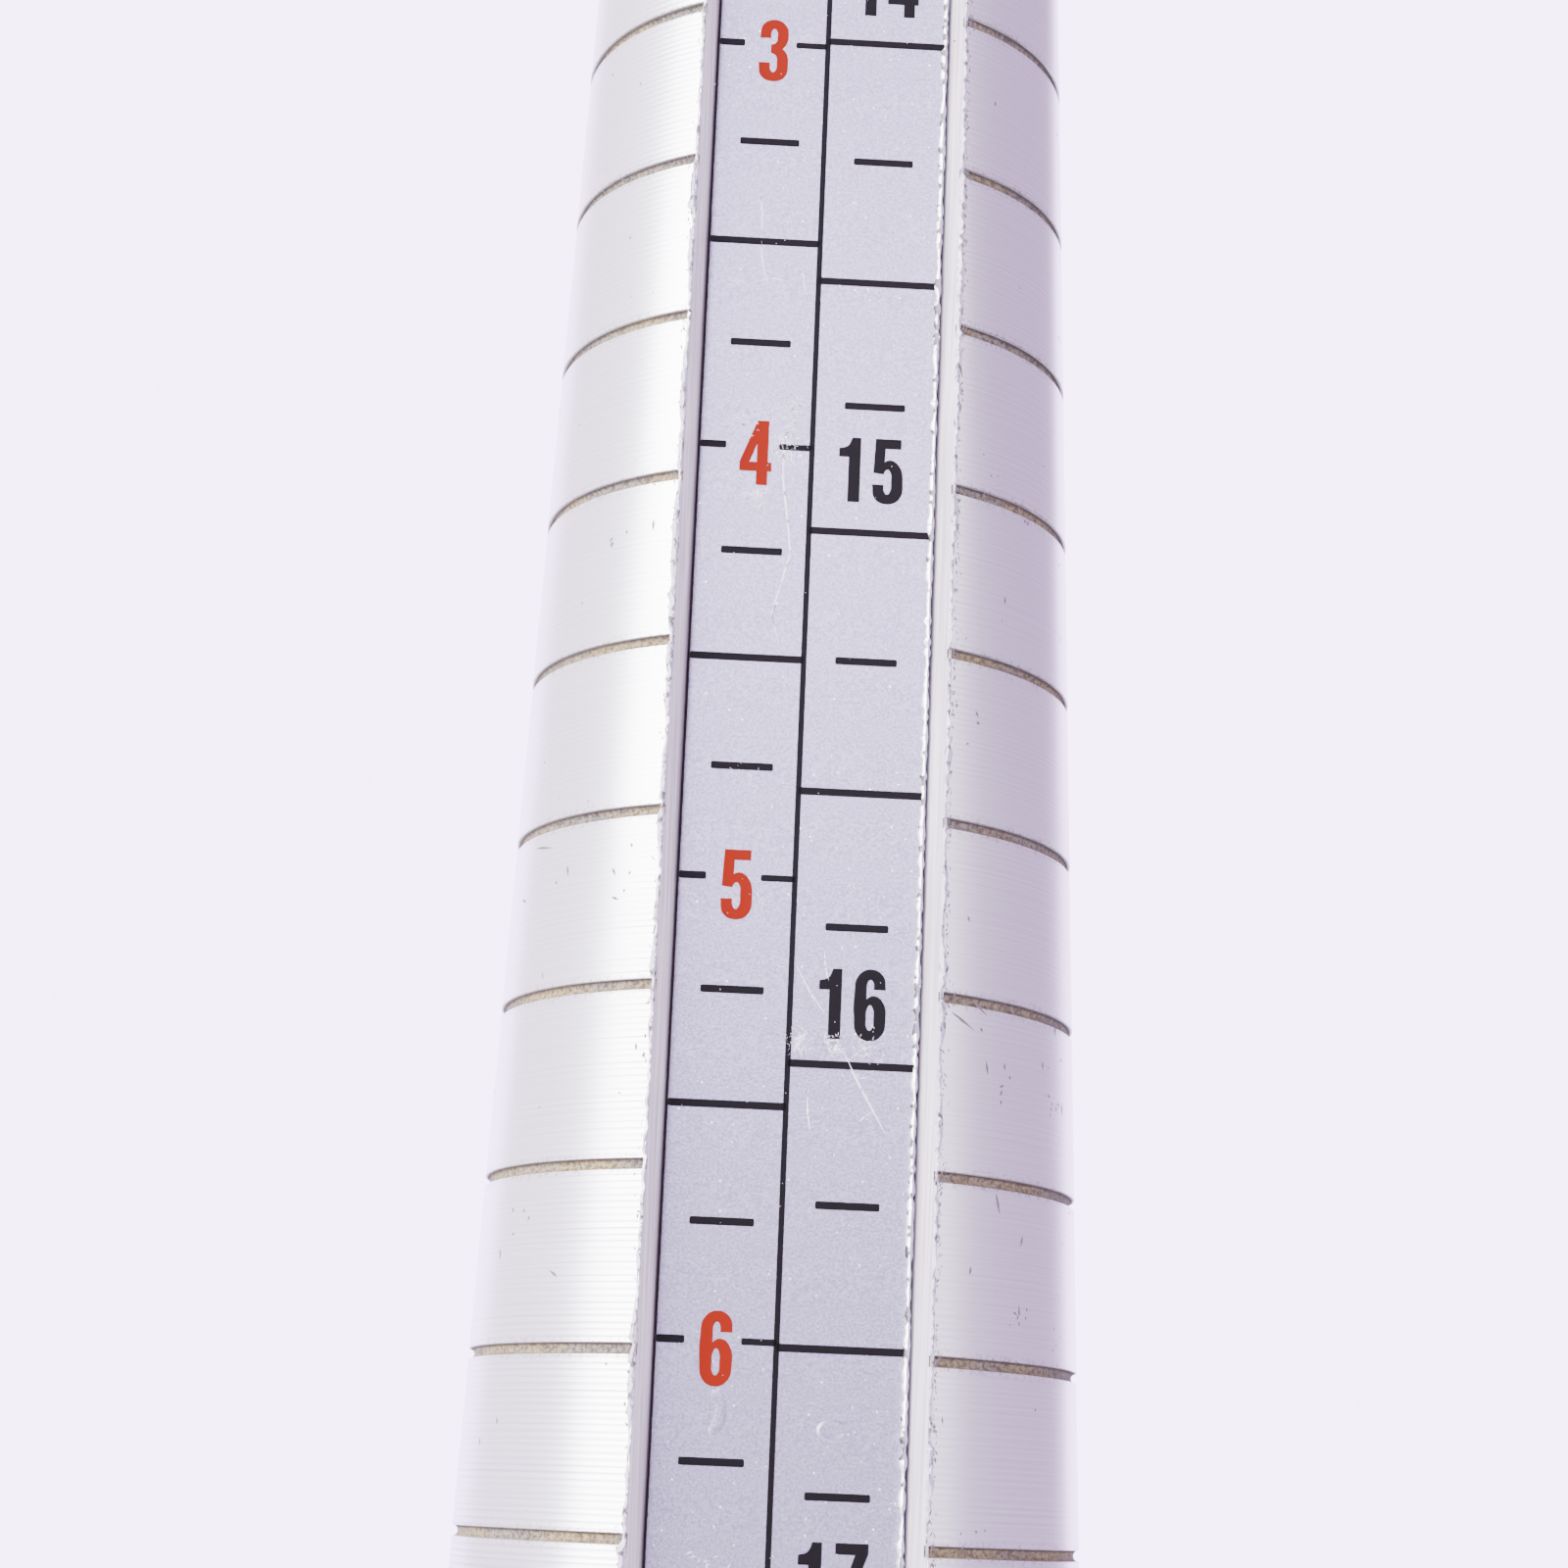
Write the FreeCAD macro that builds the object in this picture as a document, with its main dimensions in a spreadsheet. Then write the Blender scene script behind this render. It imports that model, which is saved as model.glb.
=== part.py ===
import FreeCAD, Part

import os

import Sketcher

# Ring mandrel: a tapered, grooved aluminium stick with two printed scale labels and a moulded handle.
# Origin: centre of the butt end. +Z runs along the stick towards the narrow tip. -Y faces the front label.

doc = FreeCAD.newDocument("RingMandrel")

# ---------------------------------------------------------------- driving dimensions (mm, degrees)

driving_sizes = [
    # name, value, meaning
    ("tip_circumference", 38, "circumference of the taper at its narrow end"),
    ("base_circumference", 77, "circumference of the taper at its thick end"),
    ("first_groove", 41, "circumference marked by the first groove"),
    ("groove_count", 36, "one groove for each millimetre of circumference"),
    ("groove_pitch", 4.66, "distance along the stick between grooves"),
    ("groove_radius", 0.15, "radius of the round-nosed grooving tool"),
    ("tip_chamfer", 0.8, "chamfer on the narrow end"),
    ("centre_diameter", 3.2, "mouth of the lathe centre hole in the narrow end"),
    ("centre_depth", 2.8, "depth of the lathe centre hole"),
    ("slot_depth", 2.23, "label channel floor below the crown of the taper"),
    ("slot_width", 6.48, "width of the channel floor"),
    ("slot_cut_height", 4, "height of the channel cutter above the floor"),
    ("slot_flare", 20, "lean of the channel walls, in degrees"),
    ("slot_run_out", 5, "travel of the channel cutter past each end of the taper"),
    ("label_width", 6.42, "printed strip"),
    ("label_thickness", 0.22, "printed strip"),
    ("label_end_gap", 1.2, "bare channel floor at each end of the strip"),
    ("tape_width", 6.16, "adhesive film under the strip"),
    ("tape_thickness", 0.1, "adhesive film under the strip"),
    ("tang_diameter", 15, "spigot of the stick inside the handle"),
    ("tang_length", 27, "spigot length below the thick end"),
    ("tang_flat_width", 12, "distance across the two flats on the spigot"),
    ("tang_flat_length", 16, "length of the flats from the end of the spigot"),
    ("thread_diameter", 6, "handle screw and tapped hole"),
    ("thread_depth", 20, "full thread in the spigot"),
    ("drill_point", 1.7, "depth of the drill point past the thread"),
    ("collar_diameter", 26.8, "turned collar at the thick end"),
    ("collar_length", 6, "turned collar at the thick end"),
    ("collar_chamfer", 0.8, "both outer edges of the collar"),
    ("collar_bead", 0.7, "radius of the turned groove round the collar"),
    ("grip_length", 88, "moulded handle from butt to collar"),
    ("grip_neck", 26, "handle diameter at the collar"),
    ("grip_swell", 32, "handle diameter in the palm"),
    ("grip_flow", 29.62, "handle diameter where swell turns to waist, and at the butt"),
    ("grip_waist", 28.34, "handle diameter above the butt"),
    ("swell_height", 50, "height of the palm swell"),
    ("flow_height", 26, "height where the swell turns to the waist"),
    ("waist_height", 13, "height of the waist"),
    ("butt_fillet", 2.2, "rounding of the butt edge"),
    ("neck_fillet", 0.8, "rounding of the edge at the collar"),
    ("flute_count", 8, "finger flutes round the handle"),
    ("flute_radius", 7, "radius of each flute"),
    ("flute_centre", 21.4, "distance of the flute axis from the handle axis"),
    ("socket_clearance", 0.1, "gap round the spigot, on the radius"),
    ("socket_end_gap", 0.6, "gap past the end of the spigot"),
    ("clearance_hole", 6.6, "screw clearance hole"),
    ("counterbore", 14, "bore for the screw head, open at the butt"),
    ("shoulder_height", 38, "height of the seat for the screw head"),
    ("cap_recess", 20, "diameter of the recess for the end cap"),
    ("cap_flange", 2, "thickness of the end cap flange"),
    ("cap_clearance", 0.05, "gap round the end cap, on the radius"),
    ("cap_plug_length", 8, "length of the plug inside the counterbore"),
    ("cap_wall", 1.6, "wall of the hollow plug"),
    ("washer_diameter", 12.4, "flat washer"),
    ("washer_thickness", 1.2, "flat washer"),
    ("washer_hole", 6.5, "both washers"),
    ("spring_diameter", 10.6, "split lock washer"),
    ("spring_thickness", 1.6, "split lock washer"),
    ("spring_slit", 0.8, "slit through the lock washer"),
    ("head_diameter", 10, "cap screw head"),
    ("head_height", 6, "cap screw head"),
    ("head_chamfer", 0.6, "cap screw head"),
    ("socket_across_flats", 5, "hexagon socket in the head"),
    ("socket_depth", 3.2, "hexagon socket in the head"),
    ("screw_length", 45, "screw shank below the head"),
    ("screw_chamfer", 0.8, "lead-in of the screw"),
]

sizes = doc.addObject("Spreadsheet::Sheet", "Sizes")
for row, (alias, value, meaning) in enumerate(driving_sizes, start=1):
    sizes.set(f"A{row}", meaning)
    sizes.set(f"B{row}", str(value))
    sizes.setAlias(f"B{row}", alias)
doc.recompute()

# Lengths worked out from the driving dimensions, written as expressions.
TIP_RADIUS = "Sizes.tip_circumference / (2 * pi)"
BASE_RADIUS = "Sizes.base_circumference / (2 * pi)"
TAPER_LENGTH = "(Sizes.base_circumference - Sizes.tip_circumference) * Sizes.groove_pitch"
TAPER_BASE = "(Sizes.grip_length + Sizes.collar_length)"
HALF_ANGLE = "atan(1 / (2 * pi * Sizes.groove_pitch))"
SLOT_LENGTH = f"{TAPER_LENGTH} / cos({HALF_ANGLE})"
SLOT_FLOOR = f"({BASE_RADIUS} - Sizes.slot_depth / cos({HALF_ANGLE}))"
TANG_END = f"({TAPER_BASE} - Sizes.tang_length)"
HEAD_TOP = "(Sizes.shoulder_height - Sizes.washer_thickness - Sizes.spring_thickness)"

X_AXIS = FreeCAD.Vector(1, 0, 0)
Z_AXIS = FreeCAD.Vector(0, 0, 1)


# ---------------------------------------------------------------- small makers

def bind(feature, **expressions):
    """Bind properties to the sheet; two underscores stand for a dot in the property's path."""
    for path, expression in expressions.items():
        feature.setExpression(path.replace("__", "."), str(expression))
    return feature


def primitive(kind, name, **expressions):
    """A Part primitive with its sizes bound to the sheet."""
    return bind(doc.addObject(f"Part::{kind}", name), **expressions)


def boolean(kind, name, base, tool):
    """A Part cut, or common, of two features."""
    feature = doc.addObject(f"Part::{kind}", name)
    feature.Base = base
    feature.Tool = tool
    return feature


def fused(name, parts):
    feature = doc.addObject("Part::MultiFuse", name)
    feature.Shapes = parts
    return feature


def new_body(name):
    return doc.addObject("PartDesign::Body", name)


def new_sketch(body, name, plane):
    """A sketch on one of the body's own origin planes."""
    sketch = body.newObject("Sketcher::SketchObject", name)
    origin_plane = next(f for f in body.Origin.OriginFeatures if f.Role == plane)
    sketch.AttachmentSupport = [(origin_plane, "")]
    sketch.MapMode = "FlatFace"
    return sketch


def closed_outline(sketch, corners):
    """A closed outline in a sketch. Each corner is an (across, up) pair of expressions.

    A third item, itself such a pair, is a point that an arc to the next corner passes through.
    """
    doc.recompute()
    points = [sketch_point(corner) for corner in corners]
    starts = []
    for i, corner in enumerate(corners):
        ends = [points[i], points[(i + 1) % len(points)]]
        if len(corner) == 2:
            sketch.addGeometry(Part.LineSegment(*ends))
            starts.append(1)
        else:
            via = sketch_point(corner[2])
            clockwise = (via - ends[0]).cross(ends[1] - ends[0]).z < 0
            if clockwise:
                ends.reverse()
            sketch.addGeometry(Part.Arc(ends[0], via, ends[1]))
            starts.append(2 if clockwise else 1)
    for i, corner in enumerate(corners):
        before = (i - 1) % len(corners)
        sketch.addConstraint(Sketcher.Constraint("Coincident", before, 3 - starts[before], i, starts[i]))
        place_point(sketch, i, starts[i], corner)
        if len(corner) == 3:
            marker = sketch.addGeometry(Part.Point(sketch_point(corner[2])), True)
            sketch.addConstraint(Sketcher.Constraint("PointOnObject", marker, 1, i))
            place_point(sketch, marker, 1, corner[2])
    doc.recompute()
    return sketch


def sketch_point(corner):
    return FreeCAD.Vector(sizes_value(corner[0]), sizes_value(corner[1]), 0)


def place_point(sketch, geometry, end, corner):
    """Bind a sketch point to its two expressions, measured from the sketch's origin."""
    for axis, expression in zip(("DistanceX", "DistanceY"), corner):
        value = sizes_value(expression)
        index = sketch.addConstraint(Sketcher.Constraint(axis, -1, 1, geometry, end, value))
        sketch.setExpression(f"Constraints[{index}]", expression)


def sizes_value(expression):
    """The present value of an expression."""
    result = sizes.evalExpression(str(expression))
    return float(getattr(result, "Value", result))


def turned(body, kind, name, corners):
    """A half section on the XZ plane turned right round Z: a Revolution adds it, a Groove cuts it."""
    section = closed_outline(new_sketch(body, f"{name}Section", "XZ_Plane"), corners)
    feature = body.newObject(f"PartDesign::{kind}", name)
    feature.Profile = section
    feature.ReferenceAxis = (section, ["V_Axis"])
    feature.Angle = 360
    doc.recompute()
    return feature


def circle_edges(feature, height, radius=None):
    """Names of the circular edges that lie at a height, and have a radius if one is given."""
    names = []
    for number, edge in enumerate(feature.Shape.Edges, start=1):
        box = edge.BoundBox
        level = abs(box.ZMin - height) < 0.01 and abs(box.ZMax - height) < 0.01
        if level and (radius is None or abs(box.XMax - radius) < 0.01):
            names.append(f"Edge{number}")
    return names


def edge_break(body, kind, name, base, edges, size):
    """A PartDesign fillet (Radius) or chamfer (Size) on the named edges."""
    feature = body.newObject(f"PartDesign::{kind}", name)
    feature.Base = (base, edges)
    feature.setExpression("Radius" if kind == "Fillet" else "Size", size)
    doc.recompute()
    return feature


# ---------------------------------------------------------------- mandrel_shaft

def label_side(side):
    """Front label at -Y (side -1) and rear label at +Y (side +1)."""
    return "Front" if side < 0 else "Rear"


def channel_strip(kind, name, side, lift, height_from_base, **expressions):
    """A solid that lies in a label channel, leaned over so that it is parallel to the taper's surface."""
    feature = primitive(kind, name, **expressions)
    turn = FreeCAD.Rotation(Z_AXIS, 0 if side > 0 else 180)
    lean = FreeCAD.Rotation(X_AXIS, sizes_value(HALF_ANGLE))
    feature.Placement = FreeCAD.Placement(FreeCAD.Vector(), turn * lean)
    radial = f"({SLOT_FLOOR} + ({lift}) / cos({HALF_ANGLE})" \
             f" - ({height_from_base}) * tan({HALF_ANGLE}))"
    bind(feature, Placement__Base__y=f"{side} * {radial}",
         Placement__Base__z=f"{TAPER_BASE} + {height_from_base}")
    return feature


def channel_cutter(side):
    """The milling cutter's path: a flat floor and two walls that lean outwards."""
    half_floor = "Sizes.slot_width / 2"
    half_mouth = f"({half_floor} + Sizes.slot_cut_height * tan(Sizes.slot_flare * 1 deg))"
    length = f"{SLOT_LENGTH} + 2 * Sizes.slot_run_out"
    return channel_strip(
        "Wedge", f"{label_side(side)}ChannelCutter", side, "0", "(0 - Sizes.slot_run_out)",
        Xmin=f"0 - {half_floor}", Xmax=half_floor, Ymin="0", Ymax="Sizes.slot_cut_height",
        Zmin="0", Zmax=length, X2min=f"0 - {half_mouth}", X2max=half_mouth, Z2min="0", Z2max=length)


taper = primitive("Cone", "Taper", Radius1=BASE_RADIUS, Radius2=TIP_RADIUS, Height=TAPER_LENGTH,
                  Placement__Base__z=TAPER_BASE)
doc.recompute()
chamfered_taper = doc.addObject("Part::Chamfer", "ChamferedTaper")
chamfered_taper.Base = taper
tip_height = sizes_value(f"{TAPER_BASE} + {TAPER_LENGTH}")
chamfer = sizes_value("Sizes.tip_chamfer")
chamfered_taper.Edges = [(int(edge[4:]), chamfer, chamfer) for edge in circle_edges(taper, tip_height)]

tang = primitive("Cylinder", "Tang", Radius="Sizes.tang_diameter / 2", Height="Sizes.tang_length",
                 Placement__Base__z=TANG_END)
turned_bar = fused("TurnedBar", [chamfered_taper, tang])

grooves = []
for number in range(int(sizes_value("Sizes.groove_count"))):
    circumference = f"(Sizes.first_groove + {number})"
    grooves.append(primitive(
        "Torus", f"Groove{number + 1:02d}", Radius1=f"{circumference} / (2 * pi)",
        Radius2="Sizes.groove_radius",
        Placement__Base__z=f"{TAPER_BASE} + (Sizes.base_circumference - {circumference})"
                           " * Sizes.groove_pitch"))

tapped_hole = primitive("Cylinder", "TappedHole", Radius="Sizes.thread_diameter / 2",
                        Height="Sizes.thread_depth", Placement__Base__z=TANG_END)
drill_point = primitive("Cone", "DrillPoint", Radius1="Sizes.thread_diameter / 2", Radius2="0",
                        Height="Sizes.drill_point",
                        Placement__Base__z=f"{TANG_END} + Sizes.thread_depth")
centre_hole = primitive("Cone", "CentreHole", Radius1="0", Radius2="Sizes.centre_diameter / 2",
                        Height="Sizes.centre_depth",
                        Placement__Base__z=f"{TAPER_BASE} + {TAPER_LENGTH} - Sizes.centre_depth")

flat_cutters = []
for side in (-1, 1):
    flat = primitive("Box", f"{label_side(side)}TangFlatCutter", Length="Sizes.tang_diameter",
                     Width="Sizes.tang_diameter", Height="Sizes.tang_flat_length",
                     Placement__Base__x="0 - Sizes.tang_diameter / 2",
                     Placement__Base__z=TANG_END)
    edge = "Sizes.tang_flat_width / 2"
    flat.setExpression("Placement.Base.y", edge if side > 0 else f"0 - {edge} - Sizes.tang_diameter")
    flat_cutters.append(flat)

shaft_cutters = fused("ShaftCutters", grooves + flat_cutters
                      + [tapped_hole, drill_point, centre_hole]
                      + [channel_cutter(side) for side in (-1, 1)])
mandrel_shaft = boolean("Cut", "MandrelShaft", turned_bar, shaft_cutters)
mandrel_shaft.Label = "mandrel_shaft"

# ---------------------------------------------------------------- scale labels and their adhesive film

strips = []
for side, place in ((-1, "front"), (1, "rear")):
    strip_length = f"{SLOT_LENGTH} - 2 * Sizes.label_end_gap"
    layers = [
        (f"{place}_label_adhesive", "Sizes.tape_width", "Sizes.tape_thickness", "0"),
        (f"{place}_scale_label", "Sizes.label_width", "Sizes.label_thickness", "Sizes.tape_thickness"),
    ]
    for label, width, thickness, lift in layers:
        half_width = f"{width} / 2"
        strip = channel_strip(
            "Wedge", "".join(word.title() for word in label.split("_")), side, lift,
            "Sizes.label_end_gap",
            Xmin=f"0 - {half_width}", Xmax=half_width, X2min=f"0 - {half_width}", X2max=half_width,
            Ymin="0", Ymax=thickness, Zmin="0", Zmax=strip_length, Z2min="0", Z2max=strip_length)
        strip.Label = label
        strips.append(strip)

# ---------------------------------------------------------------- handle_collar

collar_outer = primitive("Cylinder", "CollarOuter", Radius="Sizes.collar_diameter / 2",
                         Height="Sizes.collar_length", Placement__Base__z="Sizes.grip_length")
doc.recompute()
collar_turned = doc.addObject("Part::Chamfer", "CollarTurned")
collar_turned.Base = collar_outer
collar_chamfer = sizes_value("Sizes.collar_chamfer")
collar_turned.Edges = [
    (int(edge[4:]), collar_chamfer, collar_chamfer)
    for height in ("Sizes.grip_length", TAPER_BASE)
    for edge in circle_edges(collar_outer, sizes_value(height))]
collar_bore = primitive("Cylinder", "CollarBore",
                        Radius="Sizes.tang_diameter / 2 + Sizes.socket_clearance",
                        Height="Sizes.collar_length", Placement__Base__z="Sizes.grip_length")
collar_bead = primitive("Torus", "CollarBead", Radius1="Sizes.collar_diameter / 2",
                        Radius2="Sizes.collar_bead",
                        Placement__Base__z="Sizes.grip_length + Sizes.collar_length / 2")
handle_collar = boolean("Cut", "HandleCollar", collar_turned,
                        fused("CollarCutters", [collar_bore, collar_bead]))
handle_collar.Label = "handle_collar"

# ---------------------------------------------------------------- handle_grip

grip = new_body("HandleGrip")
grip.Label = "handle_grip"

grip_outside = turned(grip, "Revolution", "GripOutside", [
    ("0", "0"),
    ("Sizes.grip_flow / 2", "0", ("Sizes.grip_waist / 2", "Sizes.waist_height")),
    ("Sizes.grip_flow / 2", "Sizes.flow_height", ("Sizes.grip_swell / 2", "Sizes.swell_height")),
    ("Sizes.grip_neck / 2", "Sizes.grip_length"),
    ("0", "Sizes.grip_length"),
])
butt_rounding = edge_break(grip, "Fillet", "ButtRounding", grip_outside,
                           circle_edges(grip_outside, 0), "Sizes.butt_fillet")
edge_break(grip, "Fillet", "NeckRounding", butt_rounding,
           circle_edges(butt_rounding, sizes_value("Sizes.grip_length")), "Sizes.neck_fillet")

flute_sketch = new_sketch(grip, "FluteCircle", "XY_Plane")
flute_sketch.setExpression("AttachmentOffset.Base.z", "Sizes.waist_height")
flute_start = (sizes_value("Sizes.flute_centre"), 0, 0)
flute_sketch.addGeometry(Part.Circle(FreeCAD.Vector(*flute_start), Z_AXIS,
                                     sizes_value("Sizes.flute_radius")))
flute_sketch.addConstraint(Sketcher.Constraint("PointOnObject", 0, 3, -1))
flute_sketch.addConstraint(Sketcher.Constraint("Radius", 0, sizes_value("Sizes.flute_radius")))
flute_sketch.addConstraint(Sketcher.Constraint("DistanceX", -1, 1, 0, 3, flute_start[0]))
flute_sketch.setExpression("Constraints[1]", "Sizes.flute_radius")
flute_sketch.setExpression("Constraints[2]", "Sizes.flute_centre")
flute = grip.newObject("PartDesign::Pocket", "Flute")
flute.Profile = flute_sketch
flute.Type = "Length"
flute.Reversed = True
flute.setExpression("Length", "Sizes.grip_length - Sizes.waist_height")
doc.recompute()
flutes = grip.newObject("PartDesign::PolarPattern", "Flutes")
flutes.Originals = [flute]
flutes.Axis = (flute_sketch, ["N_Axis"])
flutes.Angle = 360
flutes.setExpression("Occurrences", "Sizes.flute_count")
grip.Tip = flutes
doc.recompute()

socket_end = f"({TANG_END} - Sizes.socket_end_gap)"
socket_radius = "(Sizes.tang_diameter / 2 + Sizes.socket_clearance)"
round_socket_end = f"({socket_end} + Sizes.tang_flat_length)"
turned(grip, "Groove", "SteppedBore", [
    ("0", "0"),
    ("Sizes.cap_recess / 2", "0"),
    ("Sizes.cap_recess / 2", "Sizes.cap_flange"),
    ("Sizes.counterbore / 2", "Sizes.cap_flange"),
    ("Sizes.counterbore / 2", "Sizes.shoulder_height"),
    ("Sizes.clearance_hole / 2", "Sizes.shoulder_height"),
    ("Sizes.clearance_hole / 2", round_socket_end),
    (socket_radius, round_socket_end),
    (socket_radius, "Sizes.grip_length"),
    ("0", "Sizes.grip_length"),
])

half_flat = "(Sizes.tang_flat_width / 2 + Sizes.socket_clearance)"
flat_end = f"sqrt({socket_radius} ^ 2 - {half_flat} ^ 2)"
keyed_outline = closed_outline(new_sketch(grip, "KeyedSocketOutline", "XY_Plane"), [
    (flat_end, f"0 - {half_flat}", (socket_radius, "0")),
    (flat_end, half_flat),
    (f"0 - {flat_end}", half_flat, (f"0 - {socket_radius}", "0")),
    (f"0 - {flat_end}", f"0 - {half_flat}"),
])
keyed_outline.setExpression("AttachmentOffset.Base.z", socket_end)
keyed_socket = grip.newObject("PartDesign::Pocket", "KeyedSocket")
keyed_socket.Profile = keyed_outline
keyed_socket.Type = "Length"
keyed_socket.Reversed = True
keyed_socket.setExpression("Length", "Sizes.tang_flat_length")

# ---------------------------------------------------------------- handle_screw

screw = new_body("HandleScrew")
screw.Label = "handle_screw"
screw.setExpression("Placement.Base.z", f"{HEAD_TOP} - Sizes.head_height")
turned(screw, "Revolution", "ScrewTurned", [
    ("0", "0"),
    ("Sizes.head_diameter / 2 - Sizes.head_chamfer", "0"),
    ("Sizes.head_diameter / 2", "Sizes.head_chamfer"),
    ("Sizes.head_diameter / 2", "Sizes.head_height"),
    ("Sizes.thread_diameter / 2", "Sizes.head_height"),
    ("Sizes.thread_diameter / 2", "Sizes.head_height + Sizes.screw_length - Sizes.screw_chamfer"),
    ("Sizes.thread_diameter / 2 - Sizes.screw_chamfer", "Sizes.head_height + Sizes.screw_length"),
    ("0", "Sizes.head_height + Sizes.screw_length"),
])
corner_distance = "Sizes.socket_across_flats / (2 * cos(30 deg))"
hexagon = closed_outline(new_sketch(screw, "HexagonOutline", "XY_Plane"), [
    (f"{corner_distance} * cos({60 * i} deg)", f"{corner_distance} * sin({60 * i} deg)")
    for i in range(6)])
hexagon_socket = screw.newObject("PartDesign::Pocket", "HexagonSocket")
hexagon_socket.Profile = hexagon
hexagon_socket.Type = "Length"
hexagon_socket.Reversed = True
hexagon_socket.setExpression("Length", "Sizes.socket_depth")

# ---------------------------------------------------------------- flat_washer and lock_washer


def washer(label, diameter, thickness, height):
    name = "".join(word.title() for word in label.split("_"))
    disc = primitive("Cylinder", f"{name}Disc", Radius=f"{diameter} / 2", Height=thickness,
                     Placement__Base__z=height)
    hole = primitive("Cylinder", f"{name}Hole", Radius="Sizes.washer_hole / 2", Height=thickness,
                     Placement__Base__z=height)
    ring = boolean("Cut", name, disc, hole)
    ring.Label = label
    return ring


flat_washer = washer("flat_washer", "Sizes.washer_diameter", "Sizes.washer_thickness",
                     "Sizes.shoulder_height - Sizes.washer_thickness")
closed_washer = washer("closed_washer", "Sizes.spring_diameter", "Sizes.spring_thickness", HEAD_TOP)
slit = primitive("Box", "LockWasherSlit", Length="Sizes.spring_diameter",
                 Width="Sizes.spring_slit", Height="Sizes.spring_thickness",
                 Placement__Base__y="0 - Sizes.spring_slit / 2", Placement__Base__z=HEAD_TOP)
lock_washer = boolean("Cut", "LockWasher", closed_washer, slit)
lock_washer.Label = "lock_washer"

# ---------------------------------------------------------------- end_cap

end_cap = new_body("EndCap")
end_cap.Label = "end_cap"
plug_end = "Sizes.cap_flange + Sizes.cap_plug_length"
plug_radius = "Sizes.counterbore / 2 - Sizes.cap_clearance"
turned(end_cap, "Revolution", "CapTurned", [
    ("0", "0"),
    ("Sizes.cap_recess / 2 - Sizes.cap_clearance", "0"),
    ("Sizes.cap_recess / 2 - Sizes.cap_clearance", "Sizes.cap_flange"),
    (plug_radius, "Sizes.cap_flange"),
    (plug_radius, plug_end),
    (f"{plug_radius} - Sizes.cap_wall", plug_end),
    (f"{plug_radius} - Sizes.cap_wall", "Sizes.cap_flange"),
    ("0", "Sizes.cap_flange"),
])

# ---------------------------------------------------------------- check and write

doc.recompute()
for feature in doc.Objects:
    if "Invalid" in feature.State or "Error" in feature.State:
        raise RuntimeError(f"{feature.Name} failed: {feature.State}")

sub_parts = [mandrel_shaft, handle_collar, grip, screw, flat_washer, lock_washer, end_cap, *strips]
os.makedirs("parts", exist_ok=True)
for sub_part in sub_parts:
    shape = sub_part.Shape
    if shape.isNull() or not shape.isValid() or len(shape.Solids) != 1:
        raise RuntimeError(f"{sub_part.Label} is not one valid solid")
    print(f"{sub_part.Label}: {shape.Volume:.1f} mm3")
for sub_part in sub_parts:
    sub_part.Shape.exportStep(f"parts/{sub_part.Label}.step")
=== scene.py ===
import math
import random

import bmesh
import bpy
from mathutils import Matrix, Vector


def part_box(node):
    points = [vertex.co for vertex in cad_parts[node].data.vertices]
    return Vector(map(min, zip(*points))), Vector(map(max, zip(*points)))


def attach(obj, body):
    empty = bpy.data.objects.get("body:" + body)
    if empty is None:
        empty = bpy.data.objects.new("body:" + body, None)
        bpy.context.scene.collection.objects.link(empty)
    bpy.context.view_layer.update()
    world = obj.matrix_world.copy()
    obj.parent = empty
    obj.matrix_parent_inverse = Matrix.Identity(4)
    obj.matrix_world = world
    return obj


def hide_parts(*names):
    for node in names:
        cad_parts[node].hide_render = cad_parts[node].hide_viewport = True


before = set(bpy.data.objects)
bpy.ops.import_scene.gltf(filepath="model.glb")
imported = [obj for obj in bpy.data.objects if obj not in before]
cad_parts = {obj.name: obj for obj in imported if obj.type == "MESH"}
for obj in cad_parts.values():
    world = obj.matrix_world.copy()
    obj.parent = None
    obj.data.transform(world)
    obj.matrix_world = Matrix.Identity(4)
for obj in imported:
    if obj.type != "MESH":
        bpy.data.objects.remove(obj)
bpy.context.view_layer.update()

# ---- Mandrel shaft -----------------------------------------------------------------------------
# One bar of bare aluminium, turned to a long taper and grooved once for each millimetre of
# circumference. Two label channels with leaning walls are then milled along it, front and rear.

MM = 0.001
TIP_CIRCUMFERENCE = 38
BASE_CIRCUMFERENCE = 77
FIRST_GROOVE = 41
LAST_GROOVE = 76
GROOVE_RADIUS = 0.15 * MM
CHANNEL_DEPTH = 2.23 * MM
CHANNEL_FLOOR = 6.48 * MM
CHANNEL_FLARE = math.radians(20)
FILM_WIDTH = 6.42 * MM
TURNING_STEPS = 192

shaft_low, shaft_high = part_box("mandrel_shaft")
taper_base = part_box("handle_collar")[1].z
taper_tip = shaft_high.z
groove_pitch = (taper_tip - taper_base) / (BASE_CIRCUMFERENCE - TIP_CIRCUMFERENCE)
half_angle = math.atan(MM / (2 * math.pi * groove_pitch))


def height_of(circumference):
    """Where along the stick the taper has this circumference, in whole millimetres."""
    return taper_base + (BASE_CIRCUMFERENCE - circumference) * groove_pitch


def radius_at(height):
    """Radius of the smooth taper at a height."""
    return (BASE_CIRCUMFERENCE * MM - (height - taper_base) / groove_pitch * MM) / (2 * math.pi)


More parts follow.
